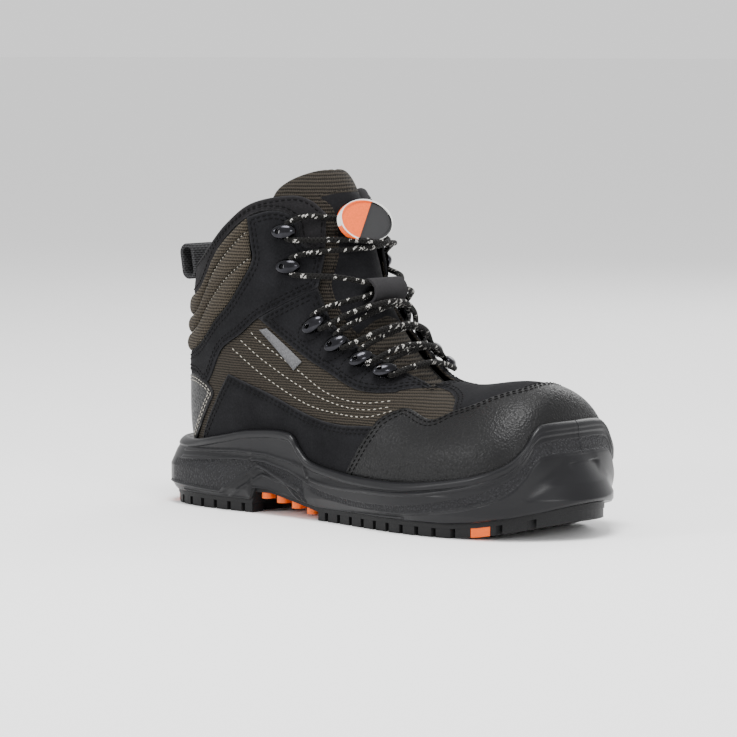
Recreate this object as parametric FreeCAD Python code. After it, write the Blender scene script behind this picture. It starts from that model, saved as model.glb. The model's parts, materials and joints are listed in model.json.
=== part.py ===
"""Steel toe work boot, right foot: sole unit, layered upper, tongue, lacing and the safety parts inside.

Lengths are millimetres. While the boot is drawn, x runs from the heel towards the toe, y is positive on the
medial (inner) side and z is height over the floor. The last step moves the whole boot so that the middle of
its footprint is the origin.
"""
import FreeCAD, Part
import os
from math import cos, radians, sin, sqrt, tan

V = FreeCAD.Vector

# ---- Driving dimensions -------------------------------------------------------------------------------

SKIN = 2.4              # leather and mesh panels of the upper
LAYER_GAP = 0.2         # between two layers of the upper
STIFFENER = 1.8         # steel cap, heel counter and padding, all in the same layer
LINING = 1.4
TONGUE_DEPTH = 5.2      # from the outside of the upper down to the padded tongue
TONGUE_PAD = 5.0
TONGUE_LEATHER = 1.4
RIM_WALL = 3.2          # midsole wall where it climbs the upper
RIB_BULGE = 1.5         # how far the collar's padded ribs stand out
SEAM_GAP = 0.3          # between two panels of the upper

TREAD_TOP = 8.0         # height of the tread's web over the floor
LUG_HEIGHT = 5.0
SMALLEST_LUG = 60.0     # cubic millimetres; slivers between grooves are left out
SLAB_RINGS = ((4.5, 5.5), (13, 1.0), (22, 1.0), (30, 4.5), (38, 9.5))     # height, and inset of the outline
BOARD_TOP = 21.4
PLATE_TOP = 22.7
FOOTBED_LOW, FOOTBED_HIGH = 23.1, 28.4
FOOTBED_SINK = 4.0      # keeps the bed's full outline where the last closes in below
FOOTBED_INSET = 8.6
FOOTBED_ROOM = 6.5         # its edge stays this far inside the surface of the last, clear of the lining

CAP_REAR = 222.0        # the steel cap reaches back to here
COUNTER_FRONT, COUNTER_TOP = 60.0, 72.0

LACE_D = 3.2
FITTING_HALF = (7.0, 4.3, 3.3)      # lace fitting: half length, half width, half height
RIVET_R = 1.4
CHANNEL_R = 1.95                    # the lace's way through a fitting

BADGE_SIZE = (39.0, 25.0, 3.0)
BADGE_STANDS = 4.6      # the badge's back over the tongue's leather, room for the lace ends behind it
TAG_SIZE = (34.0, 6.5, 0.7)
PULL_LOOP = (20.0, 13.0, 2.0)       # width, reach and webbing thickness

# Each station is one closed section of the upper's outside. It lies in the plane of a line from the ridge
# (front or top of the foot) to the back (heel or sole): ridge x and z, back x and z, the centre's y, then
# the lateral half widths at the fractions below of the way down that line, and how much slimmer the medial
# side is.
FRACTIONS = (0.10, 0.28, 0.52, 0.78, 0.95)
STATIONS = [
    (274, 49, 276, 33, 0, (6, 10, 12, 11, 8), 1),
    (270, 62, 273, 24, 0, (14, 23, 27, 26, 18), 2),
    (264, 74, 267, 18, 1, (19, 31, 38, 39, 31), 2),
    (253, 79, 257, 16, 1, (23, 37, 46, 47, 40), 2),
    (236, 80, 238, 15, 1, (25, 40, 50, 52, 44), 3),
    (214, 77, 210, 15, 1, (24, 40, 51, 53, 44), 5),
    (194, 77, 180, 16, 0, (24, 40, 48, 50, 41), 6),
    (175, 83, 150, 16.5, 0, (25, 40, 46, 45, 37), 5),
    (159, 97, 118, 16.5, 0, (25, 40, 44, 42, 34), 3),
    (147, 114, 80, 16.5, 0, (25, 40, 43, 39, 34), 2),
    (139, 130, 34, 16.5, 1, (25, 41, 43, 37, 29), 0),
    (133, 146, 10, 34, 2, (26, 42, 44, 35, 21), 0),
    (128, 160, 5, 62, 3, (26, 43, 45, 34, 18), 0),
    (123, 172, 6, 86, 3, (26, 43, 45, 34, 18), 0),
    (118, 182, 9, 110, 3, (25, 43, 45, 34, 18), 0),
    (112, 192, 13, 134, 3, (25, 42, 45, 34, 18), 0),
    (106, 202, 17, 158, 3, (25, 42, 45, 34, 18), 0),
]

# Widest line of the sole seen from above, from the heel round the lateral side to the toe and back.
SOLE_OUTLINE = [
    (-6, 0), (-1, -20), (16, -35), (45, -42), (80, -43), (112, -44), (145, -49), (178, -56), (208, -59),
    (238, -55), (263, -45), (281, -29), (290, -10), (289, 8), (279, 27), (260, 43), (232, 51), (205, 52),
    (175, 46), (140, 38), (105, 36), (70, 38), (40, 39), (14, 32), (-1, 18),
]

# Middle of the lace, span by span, from a lateral fitting to a medial one. A crossing span has a twin,
# mirrored about the y in LACE_MIRROR, because the shaft leans to the medial side.
LACE_BAR = [(169.5, -28, 80.5), (172, -17, 84.5), (174, 0, 87), (172, 17, 84.5), (169.5, 28, 80.5)]
LACE_CROSSINGS = [
    [(162.5, -25, 88.5), (165, -13, 92), (165.5, 3, 94.5), (162, 17, 93), (157.5, 32, 86.5)],
    [(149.5, -31, 95.5), (154, -17, 101), (156.5, 0, 105), (153, 18, 103), (142.5, 36, 94.5)],
    [(134.5, -35, 103.5), (142, -22, 110), (148, -4, 117), (144.5, 14, 116), (136, 28, 111),
     (127.5, 39, 104.5)],
    [(119.5, -37, 113.5), (130, -29, 118), (141, -14, 122.6), (138.8, 14, 127.1), (128, 31, 131),
     (108, 43, 132)],
    [(106, -37, 145), (117, -27, 146.5), (130, -13, 148), (134, 2, 149), (127, 21, 151), (103, 43, 152)],
]
LACE_MIRROR = (0, 0, 0, 2, 3)
LACE_ENDS = [
    [(102, -36, 164), (111, -28, 166), (118.3, -18, 165), (122.2, -7.5, 163.5)],
    [(102, 42, 164), (113, 31, 166), (120.5, 19, 165), (124, 7.5, 163.5)],
]
LACE_OVER = 3.6         # how far a mirrored span rises where it crosses its twin
AGLET = (1.9, 9.0)      # radius and length

# Edges of the upper's panels in side view, x and z.
RIM_EDGE = [(-30, 37), (23, 37), (51, 41), (78, 46), (108, 47), (117, 39), (126, 32), (150, 28), (180, 27),
            (208, 28), (242, 33), (261, 40), (270, 49), (275, 58), (282, 61), (310, 61)]
OPENING_EDGE = [(-20, 131), (10, 133), (35, 141), (63, 161), (80, 172.5), (98, 177), (107, 174.5), (115, 167)]
THROAT_EDGE = [(118, 145), (118, 127), (127, 111), (141, 99), (155, 91), (167, 84), (177, 79.5), (188, 75.5)]
TRIM_LOWER = [(-20, 114), (6, 116), (34, 124), (54, 146), (78, 165), (93, 169), (103, 164), (108, 151)]
STRAP_UPPER = [(-20, 82), (6, 84), (31, 91), (51, 106.5), (66, 118.5), (81, 139), (81, 150), (78, 165)]
STRAP_LOWER = [(-20, 73), (27, 74), (41, 71), (56, 90), (73, 100), (86, 109.5), (100, 117), (109, 122),
               (118, 127)]
PATCH_EDGE = [(41, 71), (47, 65), (41, 57), (31, 44), (20, 30), (14, 10)]
SIDE_REAR_EDGE = [(28, 10), (35, 41), (49, 61), (62, 77)]
SIDE_TOP_EDGE = [(62, 77), (94, 68), (124, 58), (147, 54.5), (171, 55)]
VAMP_EDGE = [(86, 109.5), (114, 92), (134, 82.5), (151, 74.5), (163, 72.5), (174, 73)]
GUARD_EDGE = [(150, -6), (152, 29), (159, 39), (171, 55)]
# The same edges go on over the top of the forefoot, where they are drawn from above, x and y.
VAMP_EDGE_TOP = [(174, -28), (183, -19), (191, -13), (200, -15), (210, -23), (217, -33)]
GUARD_EDGE_TOP = [(171, -44), (181, -38), (188, -35), (206, -38), (217, -33), (232, -28), (247, -14),
                  (250, 0)]
FOREFOOT_X, FOREFOOT_Z = 174.0, 55.0    # the edges from above count in front of this x and over this z
TREAD_LINE = [(-12, 7), (-2, 3), (12, 0), (77, 0), (80, 7), (92, 7), (128, 0), (228, 0), (245, 1.5),
              (262, 4.5), (278, 8.5), (296, 14)]
ARCH = (77.0, 128.0)            # x where the tread is lifted off the floor and has no lugs
BAR_COUNT, BAR_PITCH, BAR_INSET = 4, 11.0, 9.0          # bars across the arch, from its rear end
BAR_WIDTH, BAR_DEPTH, BAR_RISE = 7.0, 5.4, 1.6          # rise: lower face over the tread's line
BAR_ENDS = (-34.0, 32.0)                                # y of the middles of a bar's round ends
INSERT_BOXES = {        # coloured blocks let into the tread: low and high corners
    "heel_insert": (V(-12, -27, -6), V(9, -11, 8)),
    "forefoot_insert": (V(241, -70, -6), V(251, -43, 10)),
}
RIB_LINES = [
    TRIM_LOWER[:5],
    [(-20, 103), (6, 105), (30, 111), (53, 136), (79.4, 158)],
    [(-20, 92), (6, 94), (29, 101), (48, 118), (63, 131), (81, 143)],
    STRAP_UPPER[:6],
]

LOOPS = [(121, 106), (136, 96), (150, 88), (163, 81.5)]       # closed lace loops, x and z, on both sides
HOOKS = [(99, 157), (103, 138)]                              # the two pairs above them
FITTING_TURN = (42.0, 8.0)      # how far the loops' and the hooks' long axes lean up from level, degrees


# ---- The last: one family of nested surfaces ----------------------------------------------------------

def station_points(index, inset):
    """Points round one station, moved in from the outside of the upper by inset."""
    ridge_x, ridge_z, back_x, back_z, middle, widths, slimmer = STATIONS[index]
    along = V(back_x - ridge_x, 0, back_z - ridge_z)
    along.normalize()
    ends = max(0.0, 1 - index / 3.0) * inset - (inset if index == len(STATIONS) - 1 else 0) * 0.5
    ridge = V(ridge_x - ends, middle, ridge_z) + along * inset
    back = V(back_x - ends, middle, back_z) - along * inset
    if index == len(STATIONS) - 1:
        ridge, back = ridge + V(-0.6, 0, 1) * inset, back + V(0.2, 0, 1) * inset
    lateral, medial = [], []
    for fraction, width in zip(FRACTIONS, widths):
        at = ridge + (back - ridge) * fraction
        half = max(width - inset, 1.5)
        lateral.append(at - V(0, half, 0))
        medial.append(at + V(0, max(half - slimmer * min(1, max(0, 3 * fraction - 0.75)), 1.2), 0))
    return [back] + lateral[::-1] + [ridge] + medial


def last(inset, first=0):
    """Closed solid inside the surface that lies this far in from the outside of the upper."""
    rings = []
    for index in range(first, len(STATIONS)):
        points = station_points(index, inset)
        ring = Part.BSplineCurve()
        knots = [k / len(points) for k in range(len(points) + 1)]
        ring.interpolate(Points=points, PeriodicFlag=True, Parameters=knots)
        rings.append(ring)
    ribs = []
    for poles in zip(*(ring.getPoles() for ring in rings)):
        rib = Part.BSplineCurve()
        rib.interpolate(Points=list(poles), Parameters=[float(k) for k in range(len(poles))])
        ribs.append(rib)
    skin = Part.BSplineSurface()
    skin.buildFromPolesMultsKnots(
        [rib.getPoles() for rib in ribs], rings[0].getMultiplicities(), ribs[0].getMultiplicities(),
        rings[0].getKnots(), ribs[0].getKnots(), True, False, 3, 3)
    side = skin.toShape()
    caps = [Part.Face(Part.Wire(rings[end].toShape())) for end in (0, -1)]
    shell = Part.Shell([side] + caps)
    shell.sewShape()
    return Part.makeSolid(shell)


# ---- Knives: an outline in side view or from above, cut right through the boot -------------------------

def along_y(outline, low=-90.0, high=90.0, gap=SEAM_GAP):
    """Block whose side view is the outline, drawn in by half the gap between panels."""
    points = [V(x, 0, z) for x, z in outline]
    face = Part.Face(Part.makePolygon(points + points[:1]))
    if gap:
        face = face.makeOffset2D(-gap / 2)
    face.translate(V(0, low, 0))
    return face.extrude(V(0, high - low, 0))


def along_z(outline, low, high, gap=SEAM_GAP):
    """Block whose outline from above is given, drawn in by half the gap between panels."""
    points = [V(x, y, 0) for x, y in outline]
    face = Part.Face(Part.makePolygon(points + points[:1]))
    if gap:
        face = face.makeOffset2D(-gap / 2)
    face.translate(V(0, 0, low))
    return face.extrude(V(0, 0, high - low))


def mirrored(outline):
    return [(x, -y) for x, y in reversed(outline)]


def layer(outer, thickness, first=0):
    return last(outer, first).cut(last(outer + thickness, first))


def on_side(shape, side):
    """The lateral (-1) or medial (+1) half of a shape."""
    half = Part.makeBox(400, 100, 300, V(-50, 0.1 if side > 0 else -100.1, -20))
    return shape.common(half)


def largest(shape):
    return max(shape.Solids, key=lambda solid: solid.Volume)


# ---- Upper ----------------------------------------------------------------------------------------------

SIDES = {"lateral": -1, "medial": 1}
THROAT_WEDGE = THROAT_EDGE[-3:] + [(188, 120), (166, 120)]


def vamp(skin):
    """One piece: the front of the foot and both lacing edges."""
    side_view = THROAT_EDGE[1:6] + [(FOREFOOT_X, 80.5)] + VAMP_EDGE[::-1]
    top_edge = [(FOREFOOT_X - 1.5, -29.5)] + VAMP_EDGE_TOP + GUARD_EDGE_TOP[5:]
    front = along_z(top_edge + mirrored(top_edge[:-1]), FOREFOOT_Z, 110).cut(along_y(THROAT_WEDGE, gap=0))
    return largest(skin.common(along_y(side_view).fuse(front)))


def quarter_mesh(skin, side):
    """Ribbed mesh between the leather panels."""
    side_view = (STRAP_LOWER[2:6] + VAMP_EDGE[1:] + [(FOREFOOT_X, FOREFOOT_Z)]
                 + SIDE_TOP_EDGE[::-1] + SIDE_REAR_EDGE[2::-1] + PATCH_EDGE[:0:-1])
    from_above = [(FOREFOOT_X - 1.5, -29.5)] + VAMP_EDGE_TOP + GUARD_EDGE_TOP[3::-1]
    if side > 0:
        from_above = mirrored(from_above)
    knife = along_y(side_view).fuse(along_z(from_above, FOREFOOT_Z, 110))
    return largest(on_side(skin.common(knife), side))


def toe_guard(skin):
    below = along_y(GUARD_EDGE + [(300, FOREFOOT_Z), (300, -6)])
    edge = GUARD_EDGE_TOP
    above = along_z([(171, -70)] + edge + mirrored(edge[:-1]) + [(171, 70), (300, 70), (300, -70)],
                    FOREFOOT_Z - 1, 110)
    return largest(skin.common(below.fuse(above)))


def side_panel(skin, side):
    outline = SIDE_TOP_EDGE + GUARD_EDGE[2::-1] + [(28, -6)] + SIDE_REAR_EDGE[:3]
    return largest(on_side(skin.common(along_y(outline)), side))


def heel_patch(skin):
    outline = STRAP_LOWER[:3] + PATCH_EDGE[1:] + [(14, -6), (-20, -6)]
    return largest(skin.common(along_y(outline)))


def ankle_strap(skin, side):
    outline = STRAP_UPPER + TRIM_LOWER[5:] + THROAT_EDGE[:1] + STRAP_LOWER[::-1]
    return largest(on_side(skin.common(along_y(outline)), side))


def collar_trim(skin):
    outline = OPENING_EDGE + THROAT_EDGE[:1] + TRIM_LOWER[::-1]
    return largest(skin.common(along_y(outline)))


def collar_ribs():
    skin = layer(-RIB_BULGE, SKIN + RIB_BULGE)
    names = ("upper", "middle", "lower")
    return {f"collar_rib_{name}": largest(skin.common(along_y(above + below[::-1])))
            for name, above, below in zip(names, RIB_LINES, RIB_LINES[1:])}


# ---- Inside the upper -----------------------------------------------------------------------------------

BASE = BOARD_TOP + 1.6          # the layers inside the upper stand on the board and the plate
UPPER_MOUTH = [(300, 110), (189, 110)] + THROAT_EDGE[::-1] + OPENING_EDGE[::-1]


def toe_cap(stiffeners):
    outline = [(CAP_REAR, BASE), (CAP_REAR, 110), (300, 110), (300, BASE)]
    return largest(stiffeners.common(along_y(outline)))


def heel_counter(stiffeners):
    front = [(COUNTER_FRONT, BASE), (COUNTER_FRONT - 5, 48), (COUNTER_FRONT - 16, COUNTER_TOP - 2)]
    return largest(stiffeners.common(along_y([(-20, BASE)] + front + [(-20, COUNTER_TOP)])))


def padding(stiffeners):
    outline = ([(COUNTER_FRONT - 16, COUNTER_TOP - 2), (COUNTER_FRONT - 5, 48), (COUNTER_FRONT, BASE),
                (CAP_REAR, BASE), (CAP_REAR, 110)] + UPPER_MOUTH[1:] + [(-20, COUNTER_TOP)])
    return largest(stiffeners.common(along_y(outline)))


def lining():
    depth = SKIN + STIFFENER + 2 * LAYER_GAP
    return largest(layer(depth, LINING).common(along_y([(-20, BASE), (300, BASE)] + UPPER_MOUTH)))


def insole_board():
    return largest(last(SKIN + LAYER_GAP).common(Part.makeBox(400, 200, BOARD_TOP, V(-50, -100, 0))))


def penetration_plate():
    slab = Part.makeBox(400, 200, PLATE_TOP - BOARD_TOP - 0.1, V(-50, -100, BOARD_TOP + 0.1))
    return largest(last(SKIN + 2.0).common(slab))


def footbed():
    slab = Part.makeBox(400, 200, FOOTBED_HIGH - FOOTBED_LOW, V(-50, -100, FOOTBED_LOW))
    bed = last(FOOTBED_INSET)
    bed.translate(V(0, 0, -FOOTBED_SINK))
    return largest(bed.common(slab).common(last(FOOTBED_ROOM)))


# ---- Tongue ---------------------------------------------------------------------------------------------

def in_front_of_throat(reach):
    """Side view outline of all that lies in front of the lacing edge, reach clear of it."""
    edge = [(x + reach, z + 0.3 * reach) for x, z in THROAT_EDGE[:-1]]
    return ([(94, 181.5), (104, 180), (111, 176), (116.8, 168)] + edge
            + [(180, 78.5), (181, 90), (150, 205), (100, 205)])


TONGUE_TOP = [(80, 205), (80, 181), (93, 181), (98, 188), (106, 193.5), (118, 194.5), (125, 205)]


def tongue_pad():
    body = layer(TONGUE_DEPTH, TONGUE_PAD, 5).common(along_y(in_front_of_throat(1.4)))
    return largest(body.cut(along_y(TONGUE_TOP, gap=0)))


def tongue_leather(low, high):
    """Leather on the front of the tongue between two heights of the ridge, square to it."""
    band = [(90, low), (116, low), (200, low - 30), (200, high - 30), (116, high), (90, high)]
    body = layer(TONGUE_DEPTH - LAYER_GAP - TONGUE_LEATHER, TONGUE_LEATHER, 5)
    body = body.common(along_y(in_front_of_throat(2.4))).common(along_y(band))
    return largest(body.cut(along_y(TONGUE_TOP, gap=0)))


def ridge_frame(z, inset):
    """Point and direction (up the tongue) on its middle line at height z."""
    rows = [(row[0], row[1]) for row in STATIONS[8:]]
    for (x0, z0), (x1, z1) in zip(rows, rows[1:]):
        if z0 <= z <= z1:
            up = V(x1 - x0, 0, z1 - z0).normalize()
            out = V(up.z, 0, -up.x)
            return V(x0, 0, z0) + up * ((z - z0) / up.z) - out * inset, up, out
    raise ValueError("height is off the tongue")


def placed(shape, origin, x_dir, z_dir):
    """Move a shape from its own frame to an origin, with its X and Z turned to two directions."""
    y_dir = z_dir.cross(x_dir)
    frame = FreeCAD.Matrix(x_dir.x, y_dir.x, z_dir.x, origin.x, x_dir.y, y_dir.y, z_dir.y, origin.y,
                           x_dir.z, y_dir.z, z_dir.z, origin.z, 0, 0, 0, 1)
    moved = shape.copy()
    moved.Placement = FreeCAD.Placement(frame).multiply(shape.Placement)
    return moved


def badge():
    """Blank oval badge, turned a little to the lateral side, with a raised rim."""
    length, height, thick = BADGE_SIZE
    point, up, out = ridge_frame(162, TONGUE_DEPTH - LAYER_GAP - TONGUE_LEATHER - BADGE_STANDS)
    across = (V(0, 1, 0) + out * 0.12).normalize()
    oval = Part.Ellipse(V(0, 0, 0), length / 2, height / 2)
    inner = Part.Ellipse(V(0, 0, 0), length / 2 - 1.3, height / 2 - 1.3)
    plate = Part.Face(Part.Wire(oval.toShape())).extrude(V(0, 0, thick))
    recess = Part.Face(Part.Wire(inner.toShape())).extrude(V(0, 0, thick))
    recess.translate(V(0, 0, thick - 0.6))
    post = Part.makeBox(8, 8, BADGE_STANDS, V(-2.5, -4, 0.3 - BADGE_STANDS))
    return placed(plate.cut(recess).fuse(post), point - across * 1.5, across, across.cross(up))


def lace_keeper():
    """Leather band across the tongue: a tunnel that both laces cross in."""
    point, up, out = ridge_frame(125.5, 3.2)
    tall, deep, wide, wall = 14.5, 9.2, 27.0, 1.4
    outer = Part.makeBox(deep - tall / 2, tall, wide, V(0, -tall / 2, 0)).fuse(
        Part.makeCylinder(tall / 2, wide, V(deep - tall / 2, 0, 0)))
    inner = Part.makeBox(deep - tall / 2, tall - 2 * wall, wide, V(0, -tall / 2 + wall, 0)).fuse(
        Part.makeCylinder(tall / 2 - wall, wide, V(deep - tall / 2, 0, 0)))
    front = Part.makeBox(40, 40, 60, V(0, -20, -10))
    band = outer.cut(inner).common(front)
    return largest(placed(band, point - V(0, wide / 2, 0), out, V(0, 1, 0)))


def gusset(side):
    """Thin folding web between the tongue and the lacing edge."""
    edge = THROAT_EDGE[:-1]
    band = [(x - 6, z - 3) for x, z in edge] + [(x + 5, z + 4) for x, z in reversed(edge)]
    body = layer(TONGUE_DEPTH + TONGUE_PAD + 0.3, 0.8, 5).common(along_y(band))
    return largest(on_side(body, side))


# ---- Lacing ---------------------------------------------------------------------------------------------

def outside(solid, x, z, side):
    """Point on the outside of the upper at x and z, and the outward direction there."""
    def width(at_x, at_z):
        line = Part.makeLine(V(at_x, 0, at_z), V(at_x, side * 90, at_z))
        return solid.common(line).Length
    here = width(x, z)
    lean_x, lean_z = width(x + 1, z) - here, width(x, z + 1) - here
    return V(x, side * here, z), V(-lean_x, side, -lean_z).normalize()


def lace_fitting():
    """Cast loop lying along its own X: the lace runs through it along Y, under the head."""
    half_l, half_w, half_h = FITTING_HALF
    body = Part.makeSphere(1.0)
    stretch = FreeCAD.Matrix(half_l, 0, 0, 0, 0, half_w, 0, 0, 0, 0, half_h, 0, 0, 0, 0, 1)
    body = body.transformGeometry(stretch)
    body.translate(V(0, 0, half_h - 0.4))
    body = body.common(Part.makeBox(40, 40, 20, V(-20, -20, 0)))
    channel = Part.makeCylinder(CHANNEL_R, 30, V(2.2, -15, 2.7), V(0, 1, 0))
    slot = Part.makeCylinder(1.5, 20, V(-3.2, 0, -5), V(0, 0, 1))
    return largest(body.cut(channel).cut(slot))


def rivet():
    """Flat head under a fitting, and its shank into the leather."""
    head = Part.makeCylinder(3.4, 0.6, V(0, 0, 0.5))
    return head.fuse(Part.makeCylinder(RIVET_R, 2.6, V(0, 0, -2.0)))


def lacing(solid, places, lean, side):
    """Fittings, rivets and the rivets' holes of one side."""
    fittings, rivets, holes = [], [], []
    for x, z in places:
        point, out = outside(solid, x, z, side)
        level = V(cos(radians(lean)), 0, sin(radians(lean)))
        long_axis = (level - out * level.dot(out)).normalize()
        fittings.append(placed(lace_fitting(), point + out * 1.3, long_axis, out))
        rivets.append(placed(rivet(), point, long_axis, out))
        holes.append(Part.makeCylinder(RIVET_R + 0.1, 10, point - out * 5, out))
    return fittings, rivets, holes


def woven_tag(solid):
    """Blank woven tag sewn along the mesh."""
    length, width, thick = TAG_SIZE
    point, out = outside(solid, 102, 93.5, -1)
    run = V(cos(radians(-38)), 0, sin(radians(-38)))
    run = (run - out * run.dot(out)).normalize()
    ribbon = Part.makeBox(length, width, thick, V(-length / 2, -width / 2, 0))
    return placed(ribbon, point + out * 0.7, run, out)


def lace_tube(route, gap=0.0):
    """Round cord along straight runs joined by tangent arcs, each as large as its runs allow."""
    points = [V(*point) for point in route]
    edges, start = [], points[0]
    for before, corner, after in zip(points, points[1:], points[2:]):
        runs = (before - corner), (after - corner)
        reach = 0.45 * min(run.Length for run in runs)
        tangents = [corner + run.normalize() * reach for run in runs]
        toward = (runs[0] + runs[1]).normalize()
        half_turn = (runs[0] * -1).getAngle(runs[1]) / 2
        radius = reach / tan(half_turn)
        middle = corner + toward * (radius / cos(half_turn) - radius)
        edges.append(Part.LineSegment(start, tangents[0]).toShape())
        edges.append(Part.Arc(tangents[0], middle, tangents[1]).toShape())
        start = tangents[1]
    edges.append(Part.LineSegment(start, points[-1]).toShape())
    ring = Part.Wire(Part.makeCircle(LACE_D / 2 + gap, points[0], points[1] - points[0]))
    return Part.Wire(edges).makePipeShell([ring], True, False)


def lace_spans(gap=0.0):
    spans = [LACE_BAR] + LACE_CROSSINGS + LACE_ENDS
    for route, mirror in zip(LACE_CROSSINGS, LACE_MIRROR):
        twin = []
        for index, (x, y, z) in enumerate(route):
            rise = LACE_OVER * min(1, min(index, len(route) - 1 - index))
            twin.append((x + 0.8 * rise, 2 * mirror - y, z + 0.6 * rise))
        spans.append(twin)
    return [lace_tube(route, gap) for route in spans]


def aglets(leather):
    """Hard sleeves on the two lace ends, tucked between the badge and the leather."""
    radius, length = AGLET
    sleeves = []
    for route in LACE_ENDS:
        before, end = V(*route[-2]), V(*route[-1])
        back = (before - end).normalize()
        sleeve = Part.makeCylinder(radius, length, end - back * 0.5, back)
        sleeves.append(largest(sleeve.cut([lace_tube(route), leather])))
    return sleeves


# ---- Pull loop ------------------------------------------------------------------------------------------

def pull_loop():
    """Webbing folded into a loop behind the collar; its finger gap opens to both sides."""
    width, reach, web = PULL_LOOP
    def stadium(grow):
        half = reach / 4 + grow
        body = Part.makeBox(2 * half, 10, width, V(-half, 0, 0))
        for y in (0, 10):
            body = body.fuse(Part.makeCylinder(half, width, V(0, y, 0)))
        return body
    ring = stadium(web).cut(stadium(0))
    up = V(-0.16, 0, 0.99).normalize()
    return largest(placed(ring, V(4.6, width / 2, 131.5), up.cross(V(0, -1, 0)), V(0, -1, 0)))


# ---- Sole -----------------------------------------------------------------------------------------------

def sole_ring(z, inset):
    """Closed smooth curve: the sole's outline at height z, drawn in by inset."""
    count = len(SOLE_OUTLINE)
    points = []
    for index, (x, y) in enumerate(SOLE_OUTLINE):
        before, after = SOLE_OUTLINE[index - 1], SOLE_OUTLINE[(index + 1) % count]
        run_x, run_y = after[0] - before[0], after[1] - before[1]
        size = sqrt(run_x ** 2 + run_y ** 2)
        points.append(V(x - run_y / size * inset, y + run_x / size * inset, z))
    curve = Part.BSplineCurve()
    curve.interpolate(Points=points, PeriodicFlag=True)
    return Part.Wire(curve.toShape())


def sole_prism(inset, low, high):
    return Part.Face(sole_ring(low, inset)).extrude(V(0, 0, high - low))


def tread_band(low, high):
    """Side view outline between two heights over the tread line, which rises at the toe and the heel."""
    return [(x, z + low) for x, z in TREAD_LINE] + [(x, z + high) for x, z in reversed(TREAD_LINE)]


def tread():
    """Rubber web with its lugs, and the coloured blocks that fill gaps cut in it."""
    field = sole_prism(5.5, -5, 40).common(along_y(tread_band(0, LUG_HEIGHT), gap=0))
    field = field.cut(Part.makeBox(ARCH[1] - ARCH[0], 200, 40, V(ARCH[0], -100, -10)))
    ring = sole_prism(15.0, -5, 30).cut(sole_prism(17.6, -5, 30))
    cuts = [ring]
    for index in range(28):
        x = 4.0 + index * 11.0
        slot = Part.makeBox(2.6, 75, 30, V(x, 0, -5))
        slot.rotate(V(x, 0, 0), V(0, 0, 1), 18)
        cuts += [slot, slot.mirror(V(0, 0, 0), V(0, 1, 0))]
    lugs = field.cut(cuts)
    web = sole_prism(5.0, -5, 40).common(along_y(tread_band(LUG_HEIGHT, TREAD_TOP), gap=0))
    inserts = {}
    for name, (low, high) in INSERT_BOXES.items():
        box = Part.makeBox(*(high - low), low)
        inserts[name] = largest(field.common(box))
        lugs = lugs.cut(Part.makeBox(*(high - low + V(0.4, 0.4, 0)), low - V(0.2, 0.2, 0)))
    lugs = [lug for lug in lugs.Solids if lug.Volume > SMALLEST_LUG]
    return web, lugs, inserts


def line_height(points, x):
    """Height of a line of x and z points at x."""
    for (x0, z0), (x1, z1) in zip(points, points[1:]):
        if x0 <= x <= x1:
            return z0 + (z1 - z0) * (x - x0) / (x1 - x0)
    raise ValueError("x is past the line's ends")


def arch_bars(web):
    """Rounded bars across the lifted arch, up against the tread's web."""
    half = BAR_WIDTH / 2
    bars = []
    for index in range(BAR_COUNT):
        x = ARCH[0] + BAR_INSET + index * BAR_PITCH
        low = line_height(TREAD_LINE, x + half) + BAR_RISE
        bar = Part.makeBox(BAR_WIDTH, BAR_ENDS[1] - BAR_ENDS[0], BAR_DEPTH, V(x - half, BAR_ENDS[0], low))
        for y in BAR_ENDS:
            bar = bar.fuse(Part.makeCylinder(half, BAR_DEPTH, V(x, y, low)))
        bars.append(min(bar.cut(web).Solids, key=lambda solid: solid.CenterOfMass.z))
    return bars


def midsole():
    """Moulded base: flared slab under the foot and a thin wall that climbs the upper to the rim."""
    slab = Part.makeLoft([sole_ring(z, inset) for z, inset in SLAB_RINGS], True)
    slab = slab.common(along_y([(x, z + TREAD_TOP + 0.1) for x, z in TREAD_LINE] + RIM_EDGE[:0:-1], gap=0))
    below_rim = along_y([(-30, TREAD_TOP + 3), (310, TREAD_TOP + 3)] + RIM_EDGE[::-1], gap=0)
    wall = last(-RIM_WALL).common(below_rim)
    return largest(slab.fuse(wall).cut(last(-0.05)))


# ---- The whole boot -------------------------------------------------------------------------------------

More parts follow.
